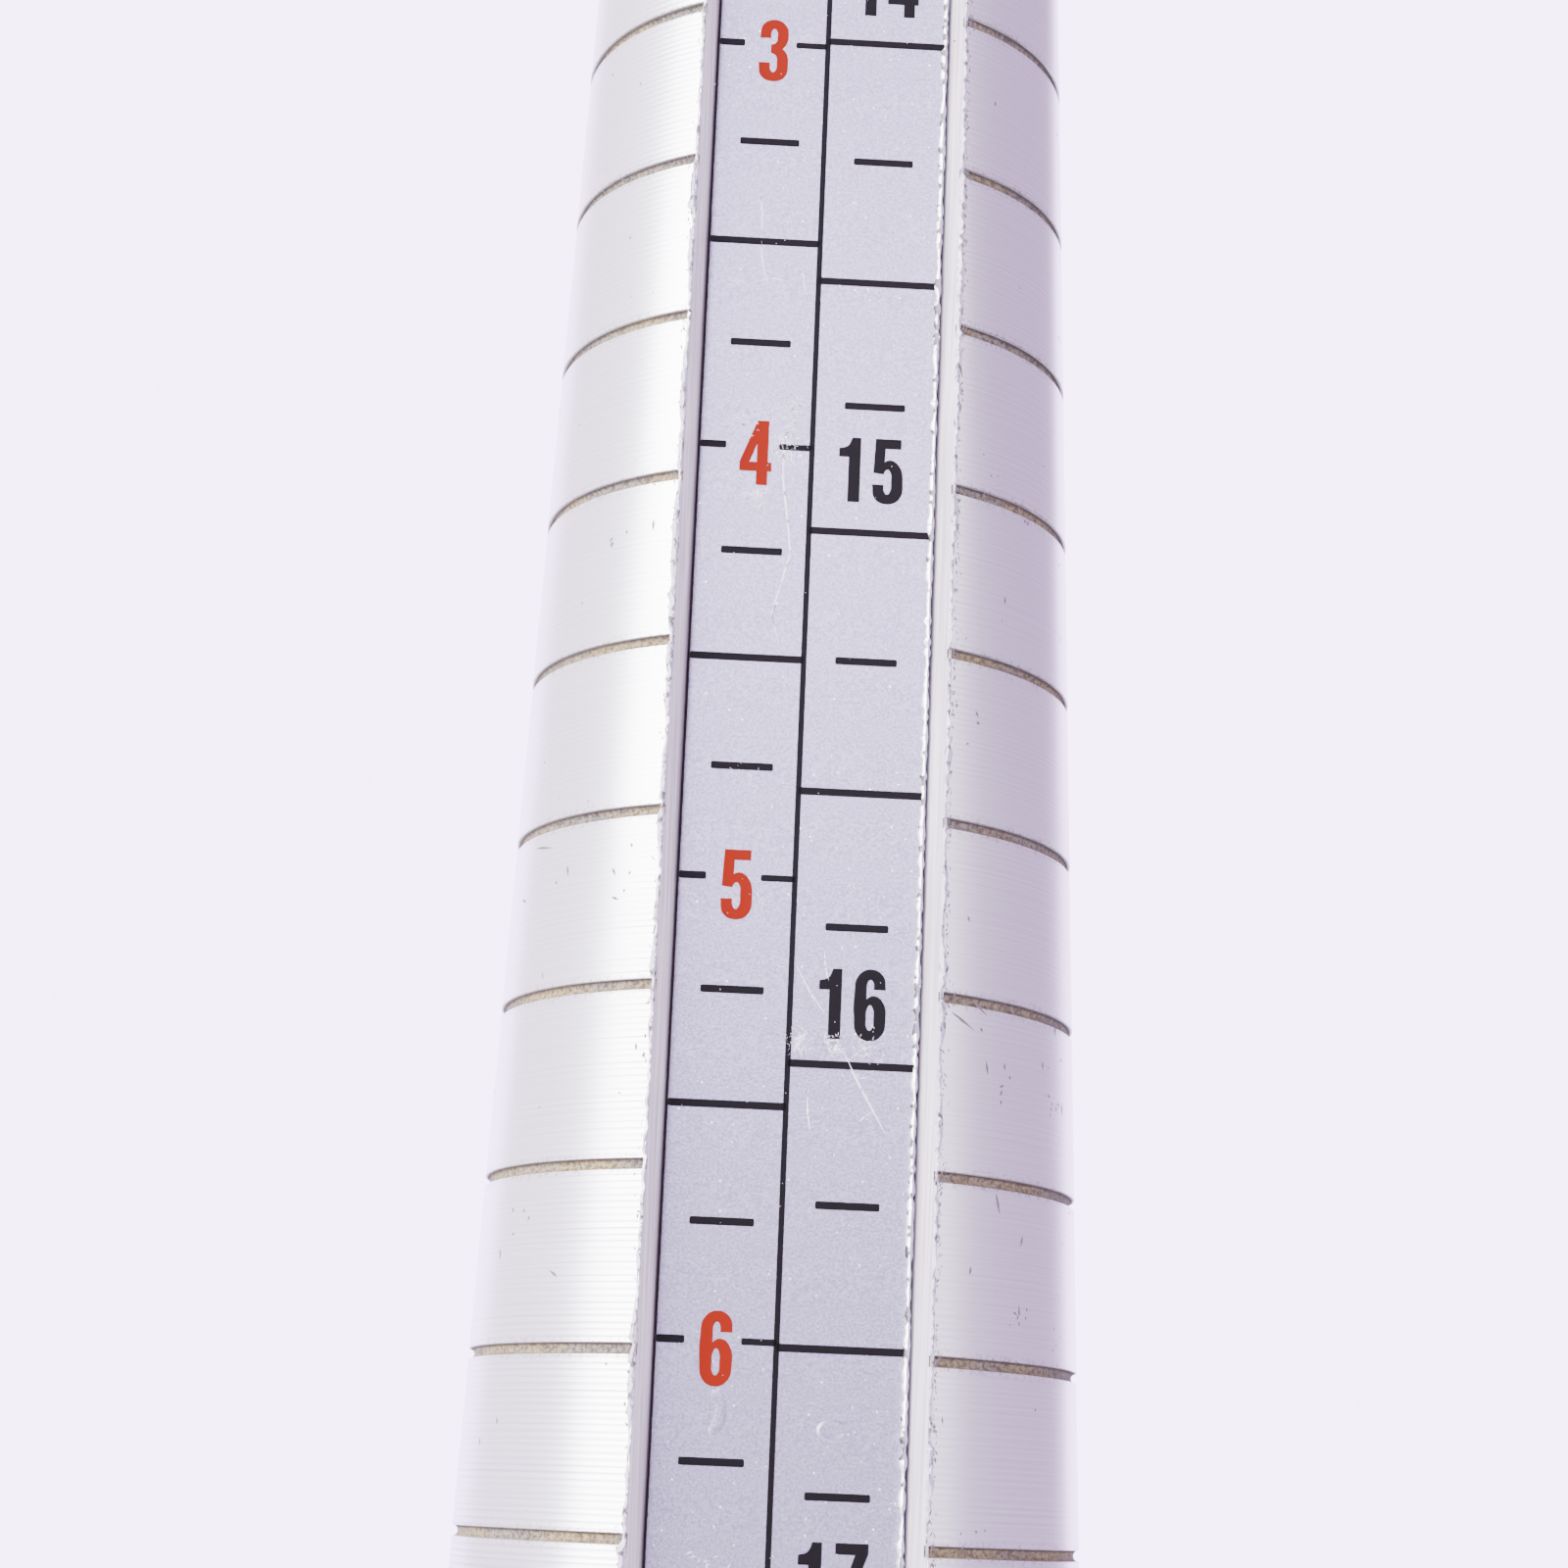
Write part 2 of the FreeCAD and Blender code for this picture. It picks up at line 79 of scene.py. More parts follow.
def shaft_outline():
    """Half section of the bar from the tapped hole round to the lathe centre in the tip."""
    thread = 3 * MM
    thread_depth = 20 * MM
    drill_point = 21.7 * MM
    tang = 7.5 * MM
    chamfer = 0.8 * MM
    centre_radius = 1.6 * MM
    centre_depth = 2.8 * MM
    groove_steps = 6
    outline = [
        (0, shaft_low.z + drill_point), (thread, shaft_low.z + thread_depth), (thread, shaft_low.z),
        (tang - chamfer, shaft_low.z), (tang, shaft_low.z + chamfer), (tang, taper_base),
        (radius_at(taper_base), taper_base)]
    for circumference in range(LAST_GROOVE, FIRST_GROOVE - 1, -1):
        centre = height_of(circumference)
        for step in range(groove_steps + 1):
            turn = math.pi * (1 + step / groove_steps)
            outline.append((radius_at(centre) + GROOVE_RADIUS * math.sin(turn),
                            centre + GROOVE_RADIUS * math.cos(turn)))
    outline += [(radius_at(taper_tip - chamfer), taper_tip - chamfer),
                (radius_at(taper_tip - chamfer) - chamfer, taper_tip),
                (centre_radius, taper_tip), (0, taper_tip - centre_depth)]
    return outline


def spun(outline, steps):
    """A bmesh turned round Z from a half section of (radius, height) points."""
    shape = bmesh.new()
    verts = [shape.verts.new((radius, 0, height)) for radius, height in outline]
    edges = [shape.edges.new(pair) for pair in zip(verts, verts[1:])]
    bmesh.ops.spin(shape, geom=verts + edges, cent=(0, 0, 0), axis=(0, 0, 1),
                   angle=2 * math.pi, steps=steps, use_merge=True)
    bmesh.ops.remove_doubles(shape, verts=shape.verts, dist=1e-7)
    bmesh.ops.recalc_face_normals(shape, faces=shape.faces)
    return shape


def made(name, shape, sharp_degrees=30):
    """An object from a bmesh, smooth apart from edges sharper than an angle."""
    mesh = bpy.data.meshes.new(name)
    shape.to_mesh(mesh)
    shape.free()
    mesh.shade_smooth()
    mesh.set_sharp_from_angle(angle=math.radians(sharp_degrees))
    piece = bpy.data.objects.new(name, mesh)
    bpy.context.scene.collection.objects.link(piece)
    return piece


def channel_place(side, lift=0.0):
    """Frame of a channel: X across, Y along the floor to the tip, Z out. Side -1 is the front."""
    floor_radius = radius_at(taper_base) - (CHANNEL_DEPTH - lift) / math.cos(half_angle)
    facing = Matrix.Rotation(0 if side < 0 else math.pi, 4, "Z")
    upright = Matrix.Rotation(math.pi / 2 - half_angle, 4, "X")
    return facing @ Matrix.Translation((0, -floor_radius, taper_base)) @ upright


def cutter_block(shape, place, low, high, flare=0.0):
    """Adds a box in a channel's frame; its walls lean outwards by the flare angle."""
    block = bmesh.ops.create_cube(shape, size=1)["verts"]
    for vert in block:
        corner = [low[i] if vert.co[i] < 0 else high[i] for i in range(3)]
        corner[0] += math.copysign(math.tan(flare) * (corner[2] - low[2]), corner[0])
        vert.co = place @ Vector(corner)


def cut(piece, cutter_shape):
    """Cuts a bmesh out of a piece for good, with an exact boolean."""
    cutter = made("cutter", cutter_shape)
    modifier = piece.modifiers.new("cut", "BOOLEAN")
    modifier.operation = "DIFFERENCE"
    modifier.solver = "EXACT"
    modifier.object = cutter
    ready = piece.evaluated_get(bpy.context.evaluated_depsgraph_get())
    old = piece.data
    piece.data = bpy.data.meshes.new_from_object(ready)
    piece.modifiers.clear()
    bpy.data.meshes.remove(old)
    bpy.data.objects.remove(cutter)
    piece.data.shade_smooth()
    piece.data.set_sharp_from_angle(angle=math.radians(30))


shaft = made("mandrel_bar", spun(shaft_outline(), TURNING_STEPS))
cutters = bmesh.new()
run_out = 5 * MM
cutter_height = 5 * MM
spigot_flat = 6 * MM
flat_length = 16 * MM
flat_width = 16 * MM
past_spigot = 9 * MM
taper_run = (taper_tip - taper_base) / math.cos(half_angle)
for side in (-1, 1):
    cutter_block(cutters, channel_place(side), (-CHANNEL_FLOOR / 2, -run_out, 0),
                 (CHANNEL_FLOOR / 2, taper_run + run_out, cutter_height), CHANNEL_FLARE)
    # The spigot has two flats that key it into the grip.
    turned_half = Matrix.Rotation(0 if side < 0 else math.pi, 4, "Z")
    cutter_block(cutters, turned_half, (-flat_width / 2, spigot_flat, shaft_low.z - MM),
                 (flat_width / 2, past_spigot, shaft_low.z + flat_length))
bmesh.ops.recalc_face_normals(cutters, faces=cutters.faces)
cut(shaft, cutters)
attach(shaft, "root")
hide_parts("mandrel_shaft")


def linear(hex_colour):
    """An sRGB hex colour as linear RGBA."""
    parts = [int(hex_colour[i:i + 2], 16) / 255 for i in (0, 2, 4)]
    return [c / 12.92 if c <= 0.04045 else ((c + 0.055) / 1.055) ** 2.4 for c in parts] + [1]


def add_node(tree, kind, inputs=None, **settings):
    """Adds a shader node, sets its properties, and fills or links its inputs."""
    node = tree.nodes.new("ShaderNode" + kind)
    for name, value in settings.items():
        setattr(node, name, value)
    for key, value in (inputs or {}).items():
        if isinstance(value, bpy.types.NodeSocket):
            tree.links.new(value, node.inputs[key])
        else:
            node.inputs[key].default_value = value
    return node


def new_material(name, **shader):
    """A material with one Principled shader; returns it, its node tree and its shader."""
    material = bpy.data.materials.new(name)
    material.use_nodes = True
    tree = material.node_tree
    principled = tree.nodes["Principled BSDF"]
    for key, value in shader.items():
        principled.inputs[key.replace("_", " ")].default_value = value
    return material, tree, principled


def plain(name, colour, **finish):
    """A material of one colour."""
    material, _, shader = new_material(name, **finish)
    shader.inputs["Base Color"].default_value = linear(colour)
    return material


def maths(tree, operation, first, second=0.0, third=0.0):
    """The output of one Math node."""
    return add_node(tree, "Math", {0: first, 1: second, 2: third}, operation=operation).outputs[0]


def product(tree, first, *others):
    """The product of two or more values."""
    for other in others:
        first = maths(tree, "MULTIPLY", first, other)
    return first


def ramp(tree, value, start, end, low=0.0, high=1.0):
    """The value taken from start..end to low..high, and held beyond them."""
    return add_node(tree, "MapRange", {"Value": value, "From Min": start, "From Max": end,
                                       "To Min": low, "To Max": high}).outputs["Result"]


def mixed(tree, factor, first, second):
    """Two colours mixed; each is a hex colour or a socket."""
    pair = [linear(colour) if isinstance(colour, str) else colour for colour in (first, second)]
    return add_node(tree, "Mix", {"Factor": factor, "A": pair[0], "B": pair[1]},
                    data_type="RGBA").outputs["Result"]


def noise(tree, place, scale, detail=2.0, roughness=0.5):
    """Noise at a place; its clots are about 1 / scale metres apart."""
    return add_node(tree, "TexNoise", {"Vector": place, "Scale": scale, "Detail": detail,
                                       "Roughness": roughness}).outputs["Fac"]


def line_noise(tree, distance, scale):
    """Noise that changes along one distance only."""
    return add_node(tree, "TexNoise", {"W": distance, "Scale": scale, "Detail": 2},
                    noise_dimensions="1D").outputs["Fac"]


def object_place(tree):
    """The place on the piece, in metres."""
    return add_node(tree, "TexCoord").outputs["Object"]


def radius_of(tree, place):
    """Distance of a place from the stick's axis."""
    flat = add_node(tree, "VectorMath", {0: place, 1: (1, 1, 0)}, operation="MULTIPLY").outputs[0]
    return add_node(tree, "VectorMath", {0: flat}, operation="LENGTH").outputs["Value"]


def set_bump(tree, shader, height, strength, distance):
    """Gives a shader a bump from a height."""
    bump = add_node(tree, "Bump", {"Height": height, "Strength": strength, "Distance": distance})
    tree.links.new(bump.outputs["Normal"], shader.inputs["Normal"])


def mottled(name, scale, detail, darker, lighter, start=0.0, end=1.0, **finish):
    """A material in two tones, broken up by noise; start and end set how sharply."""
    material, tree, shader = new_material(name, **finish)
    tone = ramp(tree, noise(tree, object_place(tree), scale, detail), start, end)
    tree.links.new(mixed(tree, tone, darker, lighter), shader.inputs["Base Color"])
    return material


def turned_aluminium():
    """Bare turned aluminium with feed lines and milled channel walls. Grime fills the grooves; painted shade
    darkens them and the channel corners.
    """
    material, tree, shader = new_material("turned aluminium", Metallic=1, Roughness=0.3)
    place = object_place(tree)
    axes = add_node(tree, "SeparateXYZ", {"Vector": place})
    height = axes.outputs["Z"]
    narrowing = MM / (2 * math.pi * groove_pitch)
    skin = maths(tree, "MULTIPLY_ADD", height, -narrowing, radius_at(taper_base) + taper_base * narrowing)
    depth = maths(tree, "SUBTRACT", skin, radius_of(tree, place))

    # How far a point is from the middle of the nearest groove, in groove radii, up positive.
    turns = maths(tree, "MULTIPLY_ADD", height, 1 / groove_pitch, 0.5 - taper_base / groove_pitch)
    across_groove = product(tree, maths(tree, "SUBTRACT", maths(tree, "FRACT", turns), 0.5),
                            groove_pitch / GROOVE_RADIUS)
    near = ramp(tree, maths(tree, "ABSOLUTE", across_groove), 1.0, 0.85)
    below_skin = ramp(tree, depth, 0.005 * MM, 0.02 * MM)
    shallow = ramp(tree, depth, 0.2 * MM, 0.17 * MM)
    in_groove = product(tree, near, below_skin, shallow)

    # Milled walls: below the skin, outside the grooves, and short of the chamfered tip.
    milled = product(tree, ramp(tree, depth, 0.02 * MM, 0.05 * MM), maths(tree, "SUBTRACT", 1, in_groove),
                     ramp(tree, height, taper_tip - 0.9 * MM, taper_tip - 1.1 * MM))
    # Painted shade in the corners where the channel walls meet the floor, beside the edges of the film.
    from_floor = maths(tree, "SUBTRACT", maths(tree, "ABSOLUTE", axes.outputs["Y"]), skin)
    corner = ramp(tree, from_floor, -CHANNEL_DEPTH + 0.2 * MM, -CHANNEL_DEPTH + 0.06 * MM)
    beside_film = ramp(tree, maths(tree, "ABSOLUTE", axes.outputs["X"]),
                       FILM_WIDTH / 2 - 0.1 * MM, FILM_WIDTH / 2)
    painted_corner_shade = product(tree, milled, corner, beside_film)

    # Feed lines 0.17 mm apart with a finer, uneven one between, fading in patches about 20 mm long.
    feed = maths(tree, "SINE", product(tree, height, 2 * math.pi / (0.17 * MM)))
    uneven = line_noise(tree, height, 14000)
    lines = maths(tree, "MULTIPLY_ADD", uneven, 1.6, feed)
    patches = noise(tree, place, 55, 1)
    lines = product(tree, lines, ramp(tree, patches, 0.36, 0.6, 0.35, 1.1),
                    ramp(tree, axes.outputs["X"], -3 * MM, 4 * MM, 1.0, 0.3))
    lengthwise = add_node(tree, "VectorMath", {0: place, 1: (1, 1, 0.03)}, operation="MULTIPLY")
    streaks = noise(tree, lengthwise.outputs[0], 7000, 3)
    relief = add_node(tree, "Mix", {0: milled, 2: lines, 3: product(tree, streaks, 7)})
    set_bump(tree, shader, relief.outputs[0], 1.0, 0.004 * MM)

    # Grime: grey-brown to golden tan, in clots of about 0.1 mm. Painted shade makes it darker towards the
    # right and darkest under the upper edge.
    clots = noise(tree, place, 9000, 4, 0.7)
    clotted = ramp(tree, clots, 0.4, 0.6)
    grime_and_shade = mixed(tree, clotted, "48433C", "948B7A")
    golden = mixed(tree, clotted, "5A4E36", "A3946C")
    grime_and_shade = mixed(tree, ramp(tree, noise(tree, place, 350), 0.42, 0.6), grime_and_shade, golden)
    # Painted shade: darker towards the right of the stick, and darkest under the upper edge of each groove.
    grime_and_shade = mixed(tree, ramp(tree, axes.outputs["X"], 0, 6 * MM, 0.0, 0.4), grime_and_shade, "453D33")
    grime_and_shade = mixed(tree, ramp(tree, across_groove, 0.35, 0.75, 0.0, 0.85), grime_and_shade, "2B2622")
    wall = mixed(tree, ramp(tree, streaks, 0.35, 0.65), "D2C8CE", "F6F0F2")
    metal = mixed(tree, ramp(tree, uneven, 0.3, 0.7), "E0DDE2", "ECEAEE")
    colour = mixed(tree, milled, metal, wall)
    # Smeared dirt reaches about 0.2 mm past the lips of the grooves, in broken clots.
    smear = product(tree, ramp(tree, maths(tree, "ABSOLUTE", across_groove), 2.4, 1.0),
                    ramp(tree, clots, 0.5, 0.62, 0.0, 0.7), ramp(tree, depth, 0.05 * MM, 0.02 * MM))
    colour = mixed(tree, smear, colour, "8D8780")
    # Painted shade in the channel corners, darker on the left than on the right by the curled edge of the
    # front film.
    corner_shade_tint = mixed(tree, ramp(tree, axes.outputs["X"], -MM, MM), "352B2C", "66626C")
    colour = mixed(tree, painted_corner_shade, colour, corner_shade_tint)
    colour = mixed(tree, in_groove, colour, grime_and_shade)
    tree.links.new(colour, shader.inputs["Base Color"])
    # Grime in the grooves and the painted corner shade make the metal duller and rougher.
    dirt = maths(tree, "MAXIMUM", in_groove, painted_corner_shade)
    dull = maths(tree, "MAXIMUM", dirt, product(tree, milled, 0.5))
    tree.links.new(ramp(tree, dull, 0, 1, 1.0, 0.1), shader.inputs["Metallic"])
    roughness = maths(tree, "MULTIPLY_ADD", milled, 0.3, ramp(tree, patches, 0.3, 0.7, 0.26, 0.34))
    tree.links.new(maths(tree, "MAXIMUM", roughness, product(tree, dirt, 0.8)), shader.inputs["Roughness"])
    return material


shaft.data.materials.clear()
shaft.data.materials.append(turned_aluminium())

# ---- Channel edges -----------------------------------------------------------------------------
# The milling cutter leaves a torn, bright burr of aluminium along both upper edges of each channel,
# uneven every few tenths of a millimetre and broken where a turned groove crosses it.


def channel_rim(place, hand, along):
    """The point where a channel's wall meets the taper's skin; hand is -1 left, 1 right."""
    low, high = 0.0, 3 * MM
    for _ in range(24):
        level = (low + high) / 2
        point = place @ Vector((hand * (CHANNEL_FLOOR / 2 + math.tan(CHANNEL_FLARE) * level), along, level))
        if math.hypot(point.x, point.y) < radius_at(point.z):
            low = level
        else:
            high = level
    return point


def join_sections(shape, rows):
    """Skins a row of three-sided sections and closes both ends."""
    for before, after in zip(rows, rows[1:]):
        for i in range(3):
            j = (i + 1) % 3
            shape.faces.new((before[i], after[i], after[j], before[j]))
    shape.faces.new(rows[0])
    shape.faces.new(rows[-1])


def burr(shape, side, hand, dice):
    """One torn edge: a row of uneven crests between the skin and the wall."""
    place = channel_place(side)
    down_wall = place.to_3x3() @ Vector((-hand * math.sin(CHANNEL_FLARE), 0, -math.cos(CHANNEL_FLARE)))
    row = []
    along = 0.4 * MM
    swell = 0.5
    while along < taper_run - 1.3 * MM:
        rim = channel_rim(place, hand, along)
        outward = Vector((rim.x, rim.y, 0)).normalized()
        away = Vector((-outward.y, outward.x, 0)) * (-hand * side)
        from_groove = abs((along * math.cos(half_angle) / groove_pitch + 0.5) % 1 - 0.5) * groove_pitch
        broken = 0.3 if from_groove < GROOVE_RADIUS * 1.2 else 1.0
        swell = min(1, max(0.15, swell + dice.uniform(-0.3, 0.3)))
        lip = swell * broken * (1.6 if dice.random() < 0.06 else 1.0)
        skin = rim + away * (0.04 + 0.13 * lip) * MM - outward * 0.004 * MM
        crest = rim + (outward * 0.085 * lip + away * dice.uniform(-0.05, 0.04)) * MM
        wall = rim + down_wall * (0.05 + 0.08 * lip) * MM - away * 0.008 * MM
        row.append([shape.verts.new(point) for point in (skin, crest, wall)])
        along += dice.uniform(0.06, 0.2) * MM
    join_sections(shape, row)


burrs = bmesh.new()
dice = random.Random(11)
for side in (-1, 1):
    for hand in (-1, 1):
        burr(burrs, side, hand, dice)
bmesh.ops.recalc_face_normals(burrs, faces=burrs.faces)
torn_edges = made("channel_edge_burrs", burrs, sharp_degrees=60)
torn_edges.data.materials.append(mottled("torn aluminium edge", 5000, 3, "7A7476", "F8F6F9", 0.36, 0.48,
                                         Metallic=0.9, Roughness=0.34))
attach(torn_edges, "root")

# ---- Nicks in the taper ------------------------------------------------------------------------
# Use has left small nicks on the bare metal, singly and in clusters, most of them along the stick and
# filled with dark dirt. Each is a low sliver that tapers to a point at both ends.


def sliver(shape, centre, run, across, outward, length, width, height):
    """A thin closed ridge lying on a surface, pointed at both ends."""
    ends = [shape.verts.new(centre + run * length * part) for part in (-0.5, 0.5)]
    sides = [shape.verts.new(centre + across * width * part + run * length * 0.06) for part in (-0.5, 0.5)]
    crown = shape.verts.new(centre + outward * height)
    for start, end in ((ends[0], sides[0]), (sides[0], ends[1]), (ends[1], sides[1]), (sides[1], ends[0])):
        shape.faces.new((start, end, crown))
    shape.faces.new((ends[0], sides[1], ends[1], sides[0]))


def add_nick(shape, azimuth, circumference, length, lean):
    """A nick on the taper; azimuth is in degrees from the front, to the right."""
    turn = math.radians(azimuth)
    outward = Vector((math.sin(turn), -math.cos(turn), 0))
    centre = outward * (radius_at(height_of(circumference)) + 0.001 * MM)
    centre.z = height_of(circumference)
    upward = Matrix.Rotation(math.radians(lean), 3, outward) @ Vector((0, 0, 1))
    sliver(shape, centre, upward, upward.cross(outward), outward, length * MM, 0.08 * MM, 0.006 * MM)


nicks = bmesh.new()
for azimuth, circumference, length, lean in (
        (39, 50.37, 0.45, 10), (67, 50.5, 0.5, 0), (42, 51.12, 0.7, 14), (57, 50.28, 0.3, 6),
        (35, 51.5, 0.3, -12), (48, 51.7, 0.5, 5), (33, 50.12, 0.9, 62), (37, 50.03, 0.7, 58),
        (44, 47.6, 0.3, 8), (31, 46.5, 0.35, -4), (-52, 49.3, 0.35, 12), (-38, 49.5, 0.3, 70),
        (-62, 49.12, 1.1, 82), (-44, 49.02, 1.0, 84), (-35, 49.2, 0.14, 20), (-35, 49.36, 0.14, -20),
        (-36, 49.46, 0.12, 0), (-70, 49.4, 0.4, 76), (-46, 51.6, 0.5, 60), (-60, 52.4, 0.25, 10)):
    add_nick(nicks, azimuth, circumference, length, lean)
dice = random.Random(5)
for azimuth, circumference, count in (
        (62, 50.5, 7), (44, 50.42, 4), (47, 51.72, 6), (60, 51.85, 4), (40, 46.9, 5), (52, 47.05, 4),
        (34, 48.3, 4), (36, 52.9, 5), (-45, 47.3, 5), (-60, 51.3, 4)):
    for _ in range(count):
        add_nick(nicks, azimuth + dice.gauss(0, 2), circumference + dice.gauss(0, 0.05),
                 dice.uniform(0.08, 0.22), dice.gauss(0, 40))
for _ in range(170):
    azimuth = dice.choice((-1, 1)) * dice.uniform(27, 75)
    add_nick(nicks, azimuth, dice.uniform(40, 76), dice.uniform(0.05, 0.12), 90 + dice.gauss(0, 25))
for _ in range(190):
    azimuth = dice.choice((-1, 1)) * dice.uniform(30, 150)
    add_nick(nicks, azimuth, dice.uniform(39, 76), dice.uniform(0.08, 0.4), dice.gauss(0, 25))
bmesh.ops.recalc_face_normals(nicks, faces=nicks.faces)
nicked = made("taper_nicks", nicks)
dark_dirt = plain("dirt in nicks", "6C6468", Metallic=0.3, Roughness=0.7)
nicked.data.materials.append(dark_dirt)
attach(nicked, "root")

# Grit of the same dirt lies along the channel edges, most on the right-hand ones, and one grain in four
# is close to the mouth of a groove.
grit = bmesh.new()
dice = random.Random(17)
first_grain = 0.5 * MM
last_grain = taper_run - 1.4 * MM
sloping_pitch = groove_pitch / math.cos(half_angle)
for side in (-1, 1):
    for hand in (-1, 1):
        place = channel_place(side)
        for grain in range(1800 if hand > 0 else 600):
            along = dice.uniform(first_grain, last_grain)
            spread = 0.06
            if grain % 4 == 0:
                nearest = round(along / sloping_pitch) * sloping_pitch
                along = min(last_grain, max(first_grain, nearest + dice.gauss(0, 0.25 * MM)))
                spread = 0.14
            rim = channel_rim(place, hand, along)
            outward = Vector((rim.x, rim.y, 0)).normalized()
            away = Vector((-outward.y, outward.x, 0)) * (-hand * side)
            centre = rim + away * (0.1 + abs(dice.gauss(0, spread))) * MM
            centre *= Vector((rim.x, rim.y, 0)).length / Vector((centre.x, centre.y, 0)).length
            centre.z = rim.z
            run = Matrix.Rotation(dice.gauss(0, 0.5), 3, outward) @ Vector((0, 0, 1))
            sliver(grit, centre, run, run.cross(outward), outward,
                   dice.uniform(0.05, 0.22) * MM, dice.uniform(0.025, 0.06) * MM, 0.012 * MM)
bmesh.ops.recalc_face_normals(grit, faces=grit.faces)
edge_grit = made("channel_edge_grit", grit)
edge_grit.data.materials.append(dark_dirt)
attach(edge_grit, "root")

# ---- Scale labels ------------------------------------------------------------------------------
# Two strips of metallised film, printed and stuck in the channels. The front one has US sizes in red
# on its left and inner diameters in millimetres on its right.

TAPE_THICKNESS = 0.1 * MM
FILM_THICKNESS = 0.22 * MM
END_GAP = 1.2 * MM
FILM_SLIP = -0.63 * MM
COLUMN_LINE = -0.15 * MM
LINE = 0.2 * MM
DASH = 1.66 * MM
INK = 0.012 * MM
DIGIT_HEIGHT = 1.82 * MM
DIGIT_WIDTH = 0.79 * MM
DIGIT_ADVANCE = 1.3
DIGIT_CELL = 2.3

# Outlines of the condensed numerals in a cell 1 wide and 2.3 high; "r" points are round, "c" corners.
# The 9 is the 6 turned half round.
DIGITS = {
    "0": ["r.5,2.33 .12,2.12 0,1.6 0,.7 .12,.18 .5,-.03 .88,.18 1,.7 1,1.6 .88,2.12",
          "r.5,2.02 .38,1.9 .35,1.6 .35,.7 .38,.4 .5,.28 .62,.4 .65,.7 .65,1.6 .62,1.9"],
    "1": ["c.46,0 .82,0 .82,2.3 .56,2.3 r.4,1.99 c.12,1.9 .12,1.64 .46,1.64"],
    "2": ["c0,0 1,0 1,.3 .42,.3 r.55,.62 .82,1.08 .98,1.45 1,1.75 .88,2.15 .5,2.33 .12,2.15"
          " c.02,1.62 .36,1.62 r.38,1.9 .5,2.03 .62,1.92 .65,1.7 .58,1.4 .2,.78 .03,.38"],
    "3": ["c.02,1.66 .36,1.66 r.38,1.9 .5,2.03 .62,1.92 .64,1.7 .58,1.43 c.42,1.36 .42,1.08 r.6,.97 .65,.65"
          " .62,.38 .5,.27 .38,.38 c.35,.64 0,.64 r.1,.14 .5,-.03 .9,.14 1,.65 .93,1.05 c.78,1.22"
          " r.92,1.42 .99,1.74 .88,2.15 .5,2.33 .12,2.15"],
    "4": ["c.56,0 .9,0 .9,.5 1.03,.5 1.03,.78 .9,.78 .9,2.3 .54,2.3 -.03,.8 -.03,.5 .56,.5",
          "c.56,.78 .56,1.62 .25,.78"],
    "5": ["c.08,2.3 .92,2.3 .92,2 .38,2 .36,1.44 r.58,1.53 .88,1.32 1,.8 .88,.14 .48,-.03 .1,.14"
          " c0,.62 .34,.62 r.37,.38 .5,.27 .62,.4 .65,.78 .62,1.12 .5,1.24 .4,1.18 c.34,1.06 .03,1.1"],
    "6": ["c.98,1.7 r.9,2.12 .5,2.33 .1,2.1 0,1.55 0,.75 .12,.16 .5,-.03 .88,.16 1,.68 .9,1.25 .62,1.44"
          " c.35,1.3 r.35,1.6 .38,1.92 .5,2.03 .62,1.92 c.64,1.7",
          "r.5,1.18 .38,1.05 .35,.7 .38,.38 .5,.27 .62,.38 .65,.7 .62,1.05"],
    "7": ["c0,2.3 1,2.3 1,2.02 r.72,1.2 c.56,0 .2,0 r.38,1.15 c.64,2 0,2"],
    "8": ["r.5,2.33 .12,2.15 .02,1.75 .08,1.42 c.22,1.22 r.06,1 0,.62 .12,.14 .5,-.03 .88,.14 1,.62 .94,1"
          " c.78,1.22 r.92,1.42 .98,1.75 .88,2.15",
          "r.5,2.04 .38,1.94 .35,1.72 .39,1.46 .5,1.36 .61,1.46 .65,1.72 .62,1.94",
          "r.5,1.1 .38,.98 .34,.66 .38,.37 .5,.26 .62,.37 .66,.66 .62,.98"],
}


def digit_points(outline):
    """Yields (x, y, is round) from the short text form of an outline."""
    is_round = True
    for word in outline.replace("r", " r ").replace("c", " c ").split():
        if word in "rc":
            is_round = word == "r"
        else:
            x, y = word.split(",")
            yield float(x), float(y), is_round


def numeral_curve(text):
    """A flat filled curve of a number, centred across, with its foot at zero."""
    curve = bpy.data.curves.new("numeral", "CURVE")
    curve.dimensions = "2D"
    curve.fill_mode = "BOTH"
    curve.resolution_u = 5
    curve.extrude = INK / 2
    curve.offset = 0.02 * MM
    start = -(DIGIT_ADVANCE * (len(text) - 1) + 1) / 2
    for place, digit in enumerate(text):
        for outline in DIGITS["6" if digit == "9" else digit]:
            spline = curve.splines.new("BEZIER")
            spline.use_cyclic_u = True
            corners = list(digit_points(outline))
            spline.bezier_points.add(len(corners) - 1)
            for point, (x, y, is_round) in zip(spline.bezier_points, corners):
                if digit == "9":
                    x, y = 1 - x, DIGIT_CELL - y
                point.co = ((start + place * DIGIT_ADVANCE + x) * DIGIT_WIDTH,
                            y / DIGIT_CELL * DIGIT_HEIGHT, 0)
                point.handle_left_type = "AUTO" if is_round else "VECTOR"
                point.handle_right_type = point.handle_left_type
    return curve


def add_numeral(shape, text, across, along):
    """Adds a number to a print; across and along are its centre and its foot on the film."""
    curve = numeral_curve(text)
    holder = bpy.data.objects.new("numeral", curve)
    bpy.context.scene.collection.objects.link(holder)
    mesh = bpy.data.meshes.new_from_object(holder.evaluated_get(bpy.context.evaluated_depsgraph_get()))
    mesh.transform(Matrix.Translation((across, along, INK / 2)))
    shape.from_mesh(mesh)
    bpy.data.objects.remove(holder)
    bpy.data.curves.remove(curve)
    bpy.data.meshes.remove(mesh)


